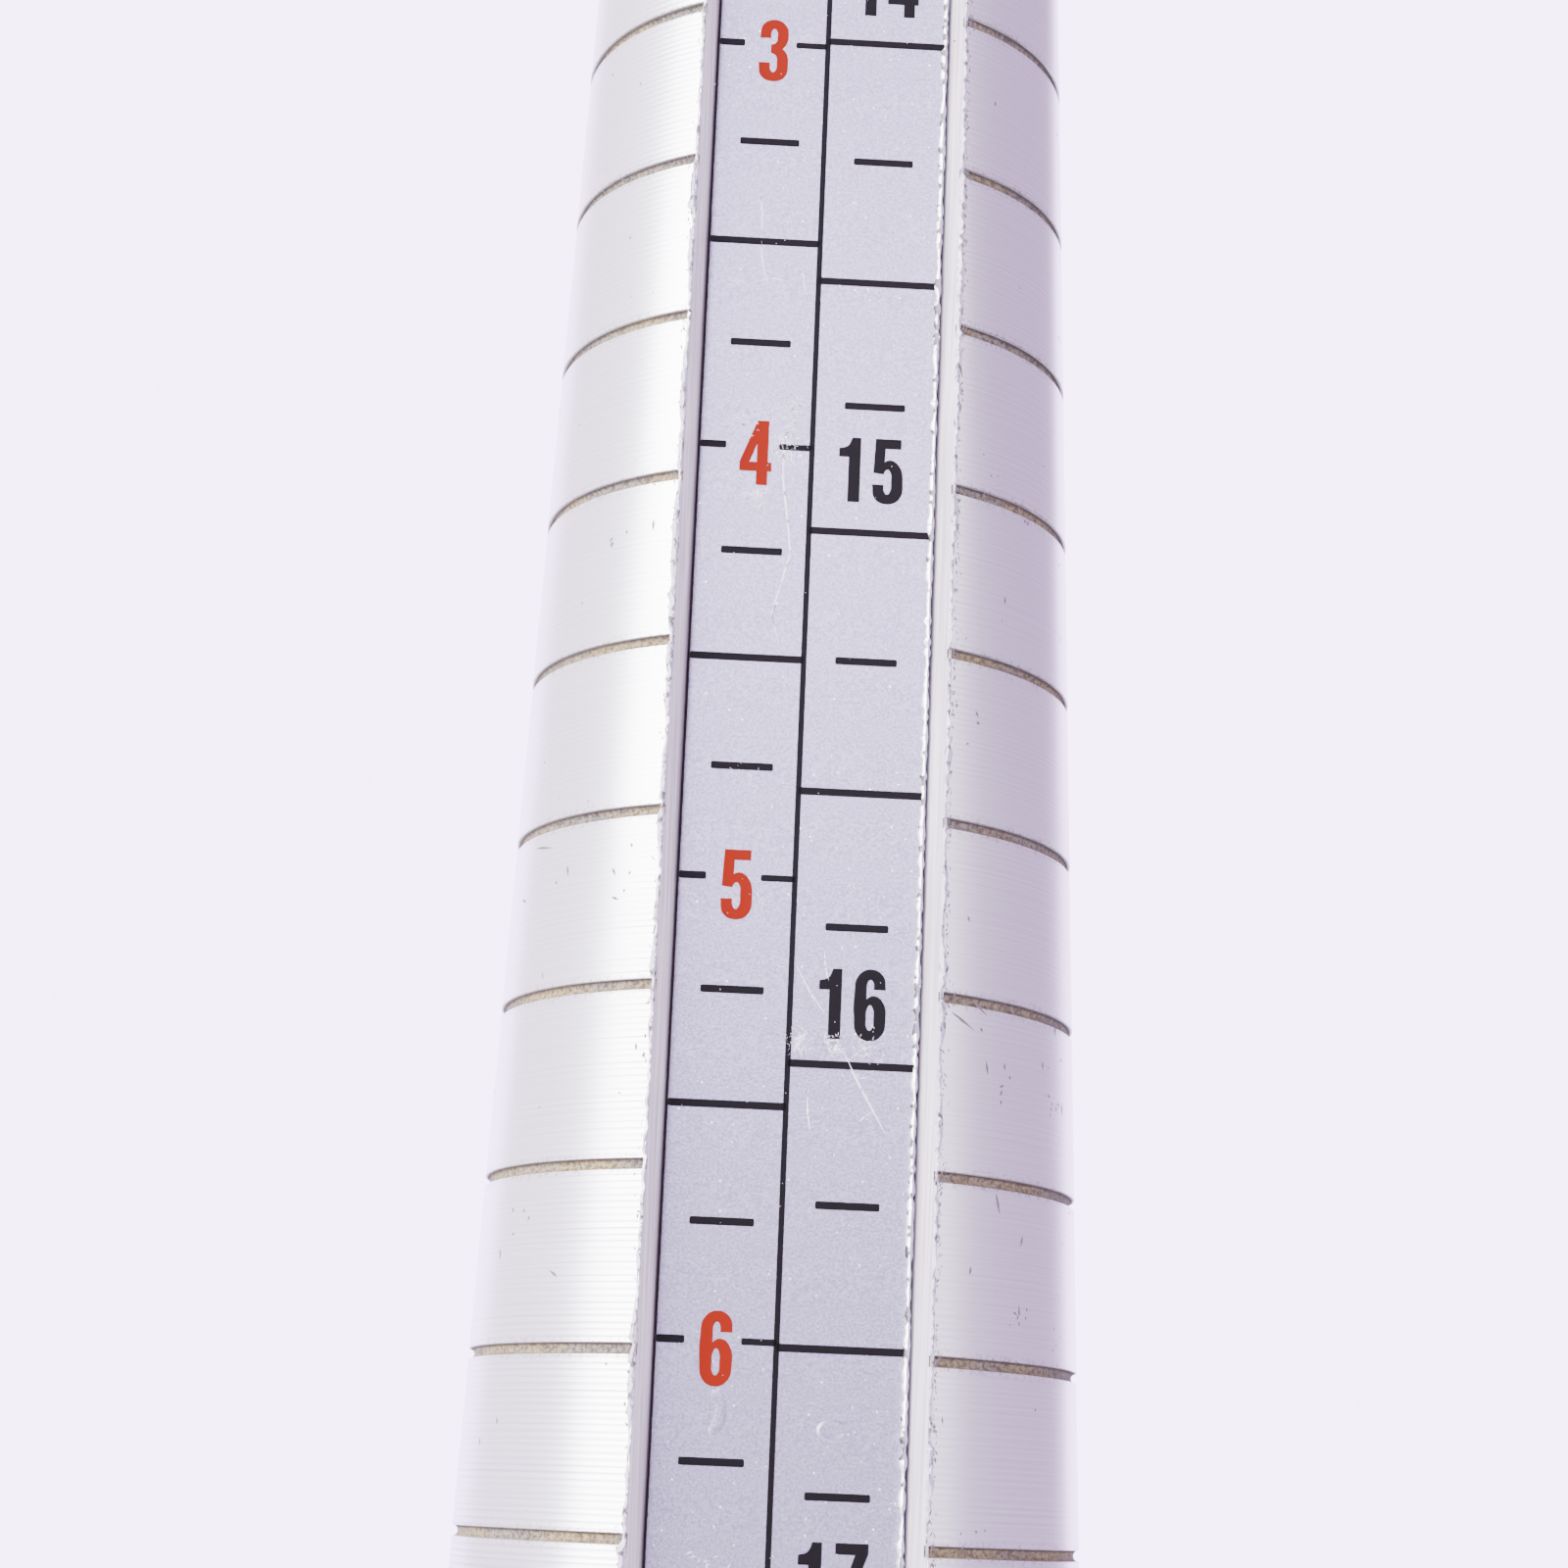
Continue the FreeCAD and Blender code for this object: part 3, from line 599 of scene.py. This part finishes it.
def add_bar(shape, left, right, middle, thickness):
    """Adds a printed line across the film from left to right, with slightly rounded ends."""
    verts = bmesh.ops.create_cube(shape, size=1)["verts"]
    bmesh.ops.scale(shape, vec=(right - left, thickness, INK), verts=verts)
    bmesh.ops.translate(shape, vec=((left + right) / 2, middle, INK / 2), verts=verts)
    edges = {edge for vert in verts for edge in vert.link_edges}
    upright = [edge for edge in edges if abs(edge.verts[0].co.z - edge.verts[1].co.z) > INK / 2]
    bmesh.ops.bevel(shape, geom=upright, offset=0.04 * MM, segments=2, profile=0.5,
                    affect="EDGES", material=-1)


def along_film(circumference):
    """Distance along the film from the taper's base to a circumference's mark."""
    return (height_of(circumference) + FILM_SLIP - taper_base) / math.cos(half_angle)


def on_film(name, shape, side, material):
    """Lays a print or strip, drawn flat, on the top of the film in a channel."""
    place = channel_place(side, TAPE_THICKNESS + FILM_THICKNESS)
    bmesh.ops.transform(shape, matrix=place, verts=shape.verts)
    piece = made(name, shape)
    piece.data.materials.append(material)
    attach(piece, "root")
    return piece


def printed_film():
    """Metallised silver-grey polyester film: satin, finely grained, with sparse bright specks."""
    material, tree, shader = new_material("metallised label film", Metallic=0.8, Roughness=0.4)
    place = object_place(tree)
    # Grain of about 0.07 mm over a softer unevenness of about 0.5 mm, with small bright specks.
    fine = noise(tree, place, 15000)
    broad = noise(tree, place, 2000)
    cells = add_node(tree, "TexVoronoi", {"Vector": place, "Scale": 2200})
    speck = ramp(tree, cells.outputs["Distance"], 0.075, 0.05)
    tone = mixed(tree, ramp(tree, fine, 0.35, 0.65), "8B8A9C", "A8A6B8")
    tree.links.new(mixed(tree, speck, tone, "FFFFFF"), shader.inputs["Base Color"])
    set_bump(tree, shader, maths(tree, "ADD", product(tree, fine, 0.6), broad), 0.8, 0.012 * MM)
    return material


film = printed_film()
black_ink = plain("black screen ink", "0E0C0E", Roughness=0.5, Specular_IOR_Level=0.08)
red_ink = plain("red screen ink", "761702", Roughness=0.5, Specular_IOR_Level=0.08)
film_left, film_right = -FILM_WIDTH / 2, FILM_WIDTH / 2
left_middle = (film_left + COLUMN_LINE) / 2
right_middle = (film_right + COLUMN_LINE) / 2
film_low = END_GAP
film_high = taper_run - END_GAP


# Diameters as this label spaces its US sizes; the usual rule is 11.63 mm + 0.8128 mm for each size.
US_ZERO = 11.526
US_STEP = 0.8267


def us_circumference(size):
    """Inner circumference of a US size, in millimetres."""
    return math.pi * (US_ZERO + US_STEP * size)


def divider(shape):
    """The long line between the two columns."""
    verts = bmesh.ops.create_cube(shape, size=1)["verts"]
    bmesh.ops.scale(shape, vec=(0.15 * MM, film_high - film_low, INK), verts=verts)
    bmesh.ops.translate(shape, vec=(COLUMN_LINE, (film_high + film_low) / 2, INK / 2), verts=verts)


def front_scale():
    """US sizes in red on the left; inner diameters in millimetres in black on the right."""
    black, red = bmesh.new(), bmesh.new()
    for quarter in range(4 * 1, 4 * 15 + 1):
        middle = along_film(us_circumference(quarter / 4))
        if quarter % 4 == 0:
            # The marks beside a number of two digits are cut short.
            outer_tick, inner_tick = (0.71, 0.9) if quarter < 4 * 10 else (0.45, 0.45)
            add_bar(black, film_left, film_left + outer_tick * MM, middle, LINE)
            add_bar(black, COLUMN_LINE - inner_tick * MM, COLUMN_LINE, middle, LINE * 0.85)
            add_numeral(red, str(quarter // 4), left_middle, middle - 0.2 * MM - DIGIT_HEIGHT / 2)
        elif quarter % 2 == 0:
            add_bar(black, film_left, COLUMN_LINE, middle, LINE)
        else:
            add_bar(black, left_middle - DASH / 2, left_middle + DASH / 2, middle, LINE)
    column_shift = 0.09 * MM
    for quarter in range(4 * 13 - 3, 4 * 24 + 2):
        middle = along_film(math.pi * quarter / 4) + column_shift
        if quarter % 2 == 0:
            add_bar(black, COLUMN_LINE, film_right, middle, LINE)
        else:
            add_bar(black, right_middle - DASH / 2, right_middle + DASH / 2, middle, LINE)
        if quarter % 4 == 0:
            lift = 0.9 if quarter < 4 * 16 else 0.71
            add_numeral(black, str(quarter // 4), right_middle - 0.1 * MM, middle + lift * MM)
    divider(black)
    return black, red


def rear_scale():
    """Circumferences in millimetres in red on the left; Japanese sizes in black on the right."""
    black, red = bmesh.new(), bmesh.new()
    for circumference in range(FIRST_GROOVE, LAST_GROOVE + 1):
        middle = along_film(circumference)
        add_bar(black, film_left, film_left + 0.45 * MM, middle, LINE)
        add_bar(black, COLUMN_LINE - 0.45 * MM, COLUMN_LINE, middle, LINE * 0.85)
        add_numeral(red, str(circumference), left_middle, middle - DIGIT_HEIGHT / 2)
    for size in range(1, 31):
        middle = along_film(math.pi * (13 + (size - 1) / 3))
        add_bar(black, COLUMN_LINE, film_right, middle, LINE)
        add_numeral(black, str(size), right_middle, middle + 0.71 * MM)
    divider(black)
    return black, red


def film_strip(dice):
    """The film itself, with its sheared long edges curled up a little; the right one is ragged."""
    strip = bmesh.new()
    step = 0.15 * MM
    # The rising facet of the right lip, which takes the painted highlight.
    lip_face = 6
    rows = []
    along = film_low
    while along < film_high + 0.14 * MM:
        at = min(along, film_high)
        left = film_left + dice.uniform(0, 0.008) * MM
        right = film_right - dice.uniform(0, 0.02) * MM
        ragged = dice.uniform(0.35, 1.3)
        outline = [
            (left, -FILM_THICKNESS), (left, -0.01 * MM), (left + 0.03 * MM, 0.012 * MM),
            (left + 0.08 * MM, 0), (film_left + 0.2 * MM, 0), (film_right - 0.3 * MM, 0),
            (right - 0.12 * MM * ragged, 0), (right - 0.02 * MM * ragged, 0.05 * MM * ragged),
            (right + 0.05 * MM * ragged, -0.01 * MM), (right, -0.07 * MM), (right, -FILM_THICKNESS)]
        rows.append([strip.verts.new((x, at, z)) for x, z in outline])
        along += step
    for before, after in zip(rows, rows[1:]):
        for i in range(len(before)):
            j = (i + 1) % len(before)
            face = strip.faces.new((before[i], after[i], after[j], before[j]))
            face.material_index = 1 if i == lip_face else 0
    strip.faces.new(rows[0])
    strip.faces.new(rows[-1])
    bmesh.ops.recalc_face_normals(strip, faces=strip.faces)
    return strip


# A painted highlight on the rising facet of the ragged right edge: near white, broken by darker patches every
# 0.3 mm or so.
sheared = mottled("sheared film edge with painted glint", 3200, 3, "4C484E", "F7F6F8", 0.42, 0.5, Metallic=0.7, Roughness=0.22)
for side, name, scale in ((-1, "front_scale", front_scale), (1, "rear_scale", rear_scale)):
    black, red = scale()
    on_film(name + "_black_print", black, side, black_ink)
    on_film(name + "_red_print", red, side, red_ink)
    piece = on_film(name + "_film", film_strip(random.Random(3 + side)), side, film)
    piece.data.materials.append(sheared)
    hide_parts(name + "_label")

# ---- Wear on the labels ------------------------------------------------------------------------
# Use has marked the front film: fine raised scratches, scuffed patches, bright specks and two
# crescent dents. The marks are closed slivers and low ridges on top of the film.


def film_point(across, circumference, lift=0.0):
    return Vector((across * MM, along_film(circumference), lift))


def ridge(shape, points, width, height):
    """A low ridge of triangular section along a line of points, pointed at its ends."""
    rows = []
    for i, point in enumerate(points):
        run = (points[min(i + 1, len(points) - 1)] - points[max(i - 1, 0)]).normalized()
        beside = Vector((run.y, -run.x, 0)) * width / 2
        full = 0.15 if i in (0, len(points) - 1) else 1.0
        crest = point + Vector((0, 0, height * full))
        rows.append([shape.verts.new(vert) for vert in (point - beside * full, crest, point + beside * full)])
    join_sections(shape, rows)


def scuff(shape, across, circumference, size, count, dice):
    """A patch of short crossing slivers."""
    for _ in range(count):
        centre = film_point(across + dice.gauss(0, size / 2), circumference + dice.gauss(0, size / 8))
        run = Matrix.Rotation(dice.uniform(0, math.pi), 3, "Z") @ Vector((1, 0, 0))
        sliver(shape, centre, run, Vector((run.y, -run.x, 0)), Vector((0, 0, 1)),
               dice.uniform(0.05, 0.3) * MM, dice.uniform(0.015, 0.045) * MM, 0.022 * MM)


scratches = bmesh.new()
dice = random.Random(21)
for marks in (
        ((-0.95, 46.51), (-0.9, 46.8), (-0.7, 47.1), (-0.62, 47.25), (-0.85, 47.45), (-1.06, 47.63),
         (-0.85, 47.8)),
        ((-1.8, 45.25), (-1.75, 45.4), (-1.58, 45.58)),
        ((-2.0, 45.57), (-1.5, 45.53), (-0.97, 45.55)),
        ((-0.97, 45.5), (-0.6, 45.48), (-0.5, 45.62)),
        ((-2.75, 45.6), (-2.3, 45.56), (-2.0, 45.6)),
        ((-1.9, 44.95), (-1.8, 45.1), (-1.78, 45.25)),
        ((1.26, 50.15), (1.6, 50.3), (2.0, 50.45), (2.45, 50.62)),
        ((0.7, 49.6), (0.75, 49.7), (0.88, 49.8)),
        ((0.0, 49.7), (0.4, 49.85), (0.85, 49.98)),
        ((1.75, 50.56), (1.9, 50.53), (2.1, 50.5)),
        ((0.4, 50.43), (0.42, 50.52), (0.5, 50.62)),
        ((-2.0, 53.1), (-2.1, 53.3), (-2.05, 53.5))):
    ridge(scratches, [film_point(*mark) for mark in marks], 0.06 * MM, 0.03 * MM)
for across, circumference, size, count in (
        (-2.0, 46.42, 0.4, 60), (-0.85, 46.6, 0.5, 120), (-1.65, 46.92, 0.3, 50), (-0.8, 46.38, 0.45, 60),
        (0.1, 50.13, 0.3, 70), (1.0, 50.12, 0.3, 60), (1.9, 50.15, 0.5, 50), (-1.7, 53.0, 0.5, 30),
        (-1.6, 48.6, 0.4, 16)):
    scuff(scratches, across, circumference, size, count, dice)
for _ in range(1100):
    centre = film_point(dice.uniform(-3, 3), dice.uniform(38.6, 76.4))
    sliver(scratches, centre, Vector((0, 1, 0)), Vector((1, 0, 0)), Vector((0, 0, 1)),
           dice.uniform(0.04, 0.09) * MM, dice.uniform(0.03, 0.06) * MM, 0.02 * MM)
bmesh.ops.recalc_face_normals(scratches, faces=scratches.faces)
# Bright raised burrs among darker gouges, changing every 0.2 mm or so.
worn_film = mottled("scratched film", 5000, 2, "8C8894", "F2F1F4", 0.36, 0.46, Metallic=0.3, Roughness=0.35)
on_film("front_label_scratches", scratches, -1, worn_film)

dents = bmesh.new()
for across, circumference, half_width, half_length, start, sweep, rim_width in (
        (-1.83, 52.17, 0.34, 0.55, -80, 150, 0.3), (1.36, 52.25, 0.34, 0.22, 20, 330, 0.16)):
    centre = film_point(across, circumference)
    turns = [math.radians(start + sweep * step / 16) for step in range(17)]
    ridge(dents, [centre + Vector((half_width * math.cos(turn), half_length * math.sin(turn), 0)) * MM
                  for turn in turns], rim_width * MM, 0.036 * MM)
bmesh.ops.recalc_face_normals(dents, faces=dents.faces)
on_film("front_label_dents", dents, -1, film)

# ---- Adhesive films ----------------------------------------------------------------------------
# A thin strip of clear double-sided adhesive, yellowed a little, holds each label to its channel
# floor. Only its edge shows, at the bottom of the gap beside the film.

adhesive = mottled("aged clear adhesive", 900, 2, "7C7466", "A49C8A", Roughness=0.45)


def finish_node(name, material):
    """Gives a CAD node its finish; its shape is right as it is."""
    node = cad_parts[name]
    node.data.materials.clear()
    node.data.materials.append(material)


for name in ("front_label_adhesive", "rear_label_adhesive"):
    finish_node(name, adhesive)

# ---- Handle collar -----------------------------------------------------------------------------
# A turned aluminium ring between the taper and the grip, with chamfered edges and a round groove.
# It is slipped over the spigot and clamped by the handle screw.

collar_low, collar_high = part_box("handle_collar")
collar_radius = collar_high.x
collar_bore = 7.6 * MM
edge = 0.8 * MM
bead = 0.7 * MM
bead_height = (collar_low.z + collar_high.z) / 2
collar_outline = [(collar_bore, collar_low.z), (collar_radius - edge, collar_low.z),
                  (collar_radius, collar_low.z + edge)]
bead_steps = 12
for step in range(bead_steps + 1):
    turn = math.pi * (1.5 - step / bead_steps)
    collar_outline.append((collar_radius + bead * math.cos(turn), bead_height + bead * math.sin(turn)))
collar_outline += [(collar_radius, collar_high.z - edge), (collar_radius - edge, collar_high.z),
                   (collar_bore, collar_high.z), (collar_bore, collar_low.z)]
collar = made("turned_collar", spun(collar_outline, TURNING_STEPS))
bevel = collar.modifiers.new("broken edges", "BEVEL")
bevel.width = 0.08 * MM
bevel.segments = 2
bevel.limit_method = "ANGLE"
bevel.angle_limit = math.radians(40)
collar_metal, tree, shader = new_material("fine turned collar", Metallic=1, Roughness=0.27)
# Fine uneven turning lines, about 0.06 mm apart, round the ring and across its faces.
place = object_place(tree)
height = add_node(tree, "SeparateXYZ", {"Vector": place}).outputs["Z"]
lines = line_noise(tree, maths(tree, "ADD", height, radius_of(tree, place)), 16000)
set_bump(tree, shader, lines, 0.8, 0.006 * MM)
tree.links.new(mixed(tree, lines, "DAD7DC", "EDEBEF"), shader.inputs["Base Color"])
collar.data.materials.append(collar_metal)
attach(collar, "root")
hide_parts("handle_collar")

# ---- Handle grip -------------------------------------------------------------------------------
# One moulding of black textured plastic: a palm swell, a waist above the butt, eight finger flutes
# and two mould parting lines. Its bore steps from the spigot's socket to the screw head's counterbore.

# Sizes of the profile, in millimetres from the butt up.
grip_low, grip_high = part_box("handle_grip")
GRIP_STEPS = 240
GRIP_TOP = round((grip_high.z - grip_low.z) / MM, 3)
WAIST_TOP = 26
BUTT_ROUNDING = 2.2
FLUTE_RADIUS = 7
FLUTE_CENTRE = 21.4
SHOULDER_LOW = 38
SHOULDER_HIGH = 66.4
SOCKET_RADIUS = 7.6
COUNTERBORE = 7
SCREW_HOLE = 3.3
CAP_RECESS = 10
CAP_RECESS_DEPTH = 2


def arc_radius(low, middle, high, height):
    """Radius at a height on the arc through three (radius, height) points."""
    (ax, ay), (bx, by), (cx, cy) = low, middle, high
    scale = 2 * (ax * (by - cy) + bx * (cy - ay) + cx * (ay - by))
    a, b, c = ax ** 2 + ay ** 2, bx ** 2 + by ** 2, cx ** 2 + cy ** 2
    centre_x = (a * (by - cy) + b * (cy - ay) + c * (ay - by)) / scale
    centre_y = (a * (cx - bx) + b * (ax - cx) + c * (bx - ax)) / scale
    bulge = math.sqrt(max(0, (bx - centre_x) ** 2 + (by - centre_y) ** 2 - (height - centre_y) ** 2))
    return centre_x + math.copysign(bulge, bx - centre_x)


def grip_radius(height):
    """Radius of the grip, in millimetres, before the flutes are cut."""
    if height < WAIST_TOP:
        radius = arc_radius((14.81, 0), (14.17, 13), (14.81, WAIST_TOP), height)
    else:
        radius = arc_radius((14.81, WAIST_TOP), (16, 50), (13, GRIP_TOP), height)
    for rounding, distance in ((BUTT_ROUNDING, height), (0.8, GRIP_TOP - height)):
        if distance < rounding:
            radius -= rounding - math.sqrt(rounding ** 2 - (rounding - distance) ** 2)
    return radius


def fluted_radius(height, turn):
    """Radius of the grip with its eight flutes, their edges softened."""
    radius = grip_radius(height)
    around = (turn + math.pi / 8) % (math.pi / 4) - math.pi / 8
    reach = FLUTE_RADIUS ** 2 - (FLUTE_CENTRE * math.sin(around)) ** 2
    flute = FLUTE_CENTRE * math.cos(around) - math.sqrt(reach) if reach > 0 else math.inf
    softness = 0.25
    blend = max(0, softness - abs(flute - radius)) / softness
    return min(radius, flute) - blend ** 2 * softness / 4


def skin_radii(height):
    """Radii of the grip's skin at a height; parting lines run up its two sides, between flutes."""
    radii = [fluted_radius(height, 2 * math.pi * step / GRIP_STEPS) for step in range(GRIP_STEPS)]
    for step in (GRIP_STEPS // 16, GRIP_STEPS // 16 + GRIP_STEPS // 2):
        radii[step] += 0.06
    return radii


def grip_ring(shape, radii, height):
    """A ring of vertices round the grip, with a radius for each step."""
    ring = []
    for step, radius in enumerate(radii):
        turn = 2 * math.pi * step / GRIP_STEPS
        corner = Vector((radius * math.cos(turn), radius * math.sin(turn), height)) * MM
        ring.append(shape.verts.new(corner + Vector((0, 0, grip_low.z))))
    return ring


even_rows = 110
even_height = 84.6
heights = [0.0, 0.1, 0.3, 0.6, 1.0, 1.6]
heights += [BUTT_ROUNDING + even_height * i / even_rows for i in range(even_rows + 1)]
heights += [87.0, 87.3, 87.6, 87.8, 87.93, GRIP_TOP]
bore_rings = [
    (SOCKET_RADIUS, GRIP_TOP), (SOCKET_RADIUS, SHOULDER_HIGH + 16), (SOCKET_RADIUS, SHOULDER_HIGH),
    (SCREW_HOLE, SHOULDER_HIGH), (SCREW_HOLE, SHOULDER_LOW), (COUNTERBORE, SHOULDER_LOW),
    (COUNTERBORE, CAP_RECESS_DEPTH), (CAP_RECESS, CAP_RECESS_DEPTH), (CAP_RECESS, 0)]
grip_shape = bmesh.new()
rings = [grip_ring(grip_shape, skin_radii(height), height) for height in heights]
rings += [grip_ring(grip_shape, [radius] * GRIP_STEPS, height) for radius, height in bore_rings]
for lower, upper in zip(rings, rings[1:] + rings[:1]):
    for i in range(GRIP_STEPS):
        j = (i + 1) % GRIP_STEPS
        grip_shape.faces.new((lower[i], lower[j], upper[j], upper[i]))
bmesh.ops.recalc_face_normals(grip_shape, faces=grip_shape.faces)
grip = made("fluted_grip", grip_shape, sharp_degrees=35)


def moulded_plastic(name, colour, roughness, grain):
    """Black moulded plastic with an eroded skin; grain is the size of its pits in metres."""
    material, tree, shader = new_material(name, Roughness=roughness, Specular_IOR_Level=0.25)
    place = object_place(tree)
    set_bump(tree, shader, noise(tree, place, 1 / grain, 3, 0.6), 0.7, 0.06 * MM)
    shader.inputs["Base Color"].default_value = linear(colour)
    # Handling has polished it a little in patches.
    tree.links.new(ramp(tree, noise(tree, place, 60), 0.35, 0.7, roughness - 0.1, roughness + 0.05),
                   shader.inputs["Roughness"])
    return material


grip.data.materials.append(moulded_plastic("black grip plastic", "131214", 0.55, 0.45 * MM))
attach(grip, "root")
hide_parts("handle_grip")

# ---- Handle screw and washers ------------------------------------------------------------------
# A zinc-plated socket head screw, a flat washer and a dark split lock washer clamp the grip and the
# collar to the spigot. They sit deep in the counterbore, behind the end cap.

zinc = mottled("bright zinc plate", 500, 3, "B9BAB8", "D6D6D0", Metallic=1, Roughness=0.32)
spring_steel = mottled("tempered spring steel", 700, 3, "3A3A40", "5A5960", Metallic=1, Roughness=0.4)
finish_node("handle_screw", zinc)
finish_node("flat_washer", zinc)
finish_node("lock_washer", spring_steel)

# ---- End cap -----------------------------------------------------------------------------------
# A push-in plastic cap that closes the butt: a dished disc with a gate mark at its centre and a
# hollow plug that grips the counterbore.

cap_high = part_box("end_cap")[1]
cap_radius = round(cap_high.x / MM, 3)
cap_top = round(cap_high.z / MM, 3)
plug_radius = 6.95
plug_bore = 5.35
# Half section of the cap, in millimetres.
cap_outline = [
    (0, 0.18), (0.7, 0.18), (0.85, 0.35), (6.9, 0.35), (7.3, 0.05), (7.4, 0), (cap_radius - 0.4, 0),
    (cap_radius - 0.1, 0.1), (cap_radius, 0.4), (cap_radius, 1.9), (cap_radius - 0.1, 2),
    (plug_radius, 2), (plug_radius, cap_top - 0.4), (plug_radius - 0.2, cap_top), (plug_bore, cap_top),
    (plug_bore, 2), (0, 2)]
cap = made("dished_end_cap", spun([(radius * MM, height * MM) for radius, height in cap_outline],
                                  TURNING_STEPS))
cap.data.materials.append(moulded_plastic("black cap plastic", "161517", 0.42, 0.25 * MM))
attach(cap, "root")
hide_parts("end_cap")

# ---- Studio ------------------------------------------------------------------------------------
# A plain pale floor in a pale lavender room that is lighter on the left and bright white behind. A
# large soft box at the left and two weak ones at the front and right light the taper, and a close
# camera looks slightly up at it.

floor_shape = bmesh.new()
bmesh.ops.create_circle(floor_shape, cap_ends=True, radius=3, segments=96)
bmesh.ops.translate(floor_shape, vec=(0, 0, -0.02 * MM), verts=floor_shape.verts)
floor = made("floor", floor_shape)
floor.data.materials.append(plain("white card", "F3F1F6", Roughness=0.9))

world = bpy.data.worlds.new("pale room")
world.use_nodes = True
sky = world.node_tree
direction = add_node(sky, "TexCoord").outputs["Generated"]
room_axes = add_node(sky, "SeparateXYZ", {"Vector": direction})
across_room = add_node(sky, "MapRange", {"Value": room_axes.outputs["X"], "From Min": -0.8, "From Max": 0.6,
                                         "To Min": 3.7, "To Max": 1.36}, interpolation_type="SMOOTHSTEP")
tint = mixed(sky, ramp(sky, room_axes.outputs["X"], -0.8, 0.3), "F2E8FC", "E7C9FF")
# In front, the room is dimmer near the horizon than overhead.
overhead = ramp(sky, room_axes.outputs["Z"], -0.05, 0.4, 0.25, 1.15)
in_front = ramp(sky, room_axes.outputs["Y"], -0.4, -0.9)
front_factor = add_node(sky, "Mix", {0: in_front, 2: 1.0, 3: overhead}).outputs[0]
room_light = maths(sky, "MULTIPLY", across_room.outputs["Result"], front_factor)
behind = add_node(sky, "MapRange", {"Value": room_axes.outputs["Y"], "From Min": 0.7, "From Max": 0.84},
                  interpolation_type="SMOOTHSTEP").outputs["Result"]
strength = add_node(sky, "Mix", {0: behind, 2: room_light, 3: 8.6}).outputs[0]
background = sky.nodes["Background"]
sky.links.new(mixed(sky, behind, tint, "E4C8FF"), background.inputs["Color"])
sky.links.new(strength, background.inputs["Strength"])
bpy.context.scene.world = world


def soft_light(name, place, aim, size, power, colour="FFFFFF"):
    lamp = bpy.data.lights.new(name, "AREA")
    lamp.shape = "RECTANGLE"
    lamp.size, lamp.size_y = size
    lamp.energy = power
    lamp.color = linear(colour)[:3]
    holder = bpy.data.objects.new(name, lamp)
    holder.location = place
    holder.rotation_euler = (Vector(aim) - Vector(place)).to_track_quat("-Z", "Y").to_euler()
    bpy.context.scene.collection.objects.link(holder)


middle_point = Vector((0, 0, height_of(49)))
soft_light("key", (-0.5, -0.35, 0.45), middle_point, (0.5, 0.6), 14)
soft_light("front fill", (0.02, -0.46, 0.42), middle_point, (0.16, 0.12), 1.3, "F2E8FF")
soft_light("right wall bounce", (0.45, -0.34, 0.36), middle_point, (0.3, 0.3), 0.8)

camera_turn = -0.0357
camera_distance = 89.07 * MM
camera_height = height_of(44) - 41.28 * MM
lens_camera = bpy.data.cameras.new("camera")
lens_camera.lens = 73.674
lens_camera.sensor_width = 36
lens_camera.clip_start = 0.005
camera = bpy.data.objects.new("camera", lens_camera)
bpy.context.scene.collection.objects.link(camera)
yaw = Matrix.Rotation(0.004, 4, "Z")
pitch = Matrix.Rotation(0.2248, 4, "X")
roll = Matrix.Rotation(-0.0421, 4, "Y")
look_along_y = Matrix.Rotation(math.pi / 2, 4, "X")
camera.matrix_world = (
    Matrix.Rotation(camera_turn, 4, "Z")
    @ Matrix.Translation((0, -camera_distance, camera_height))
    @ yaw @ pitch @ roll @ look_along_y)
bpy.context.scene.camera = camera
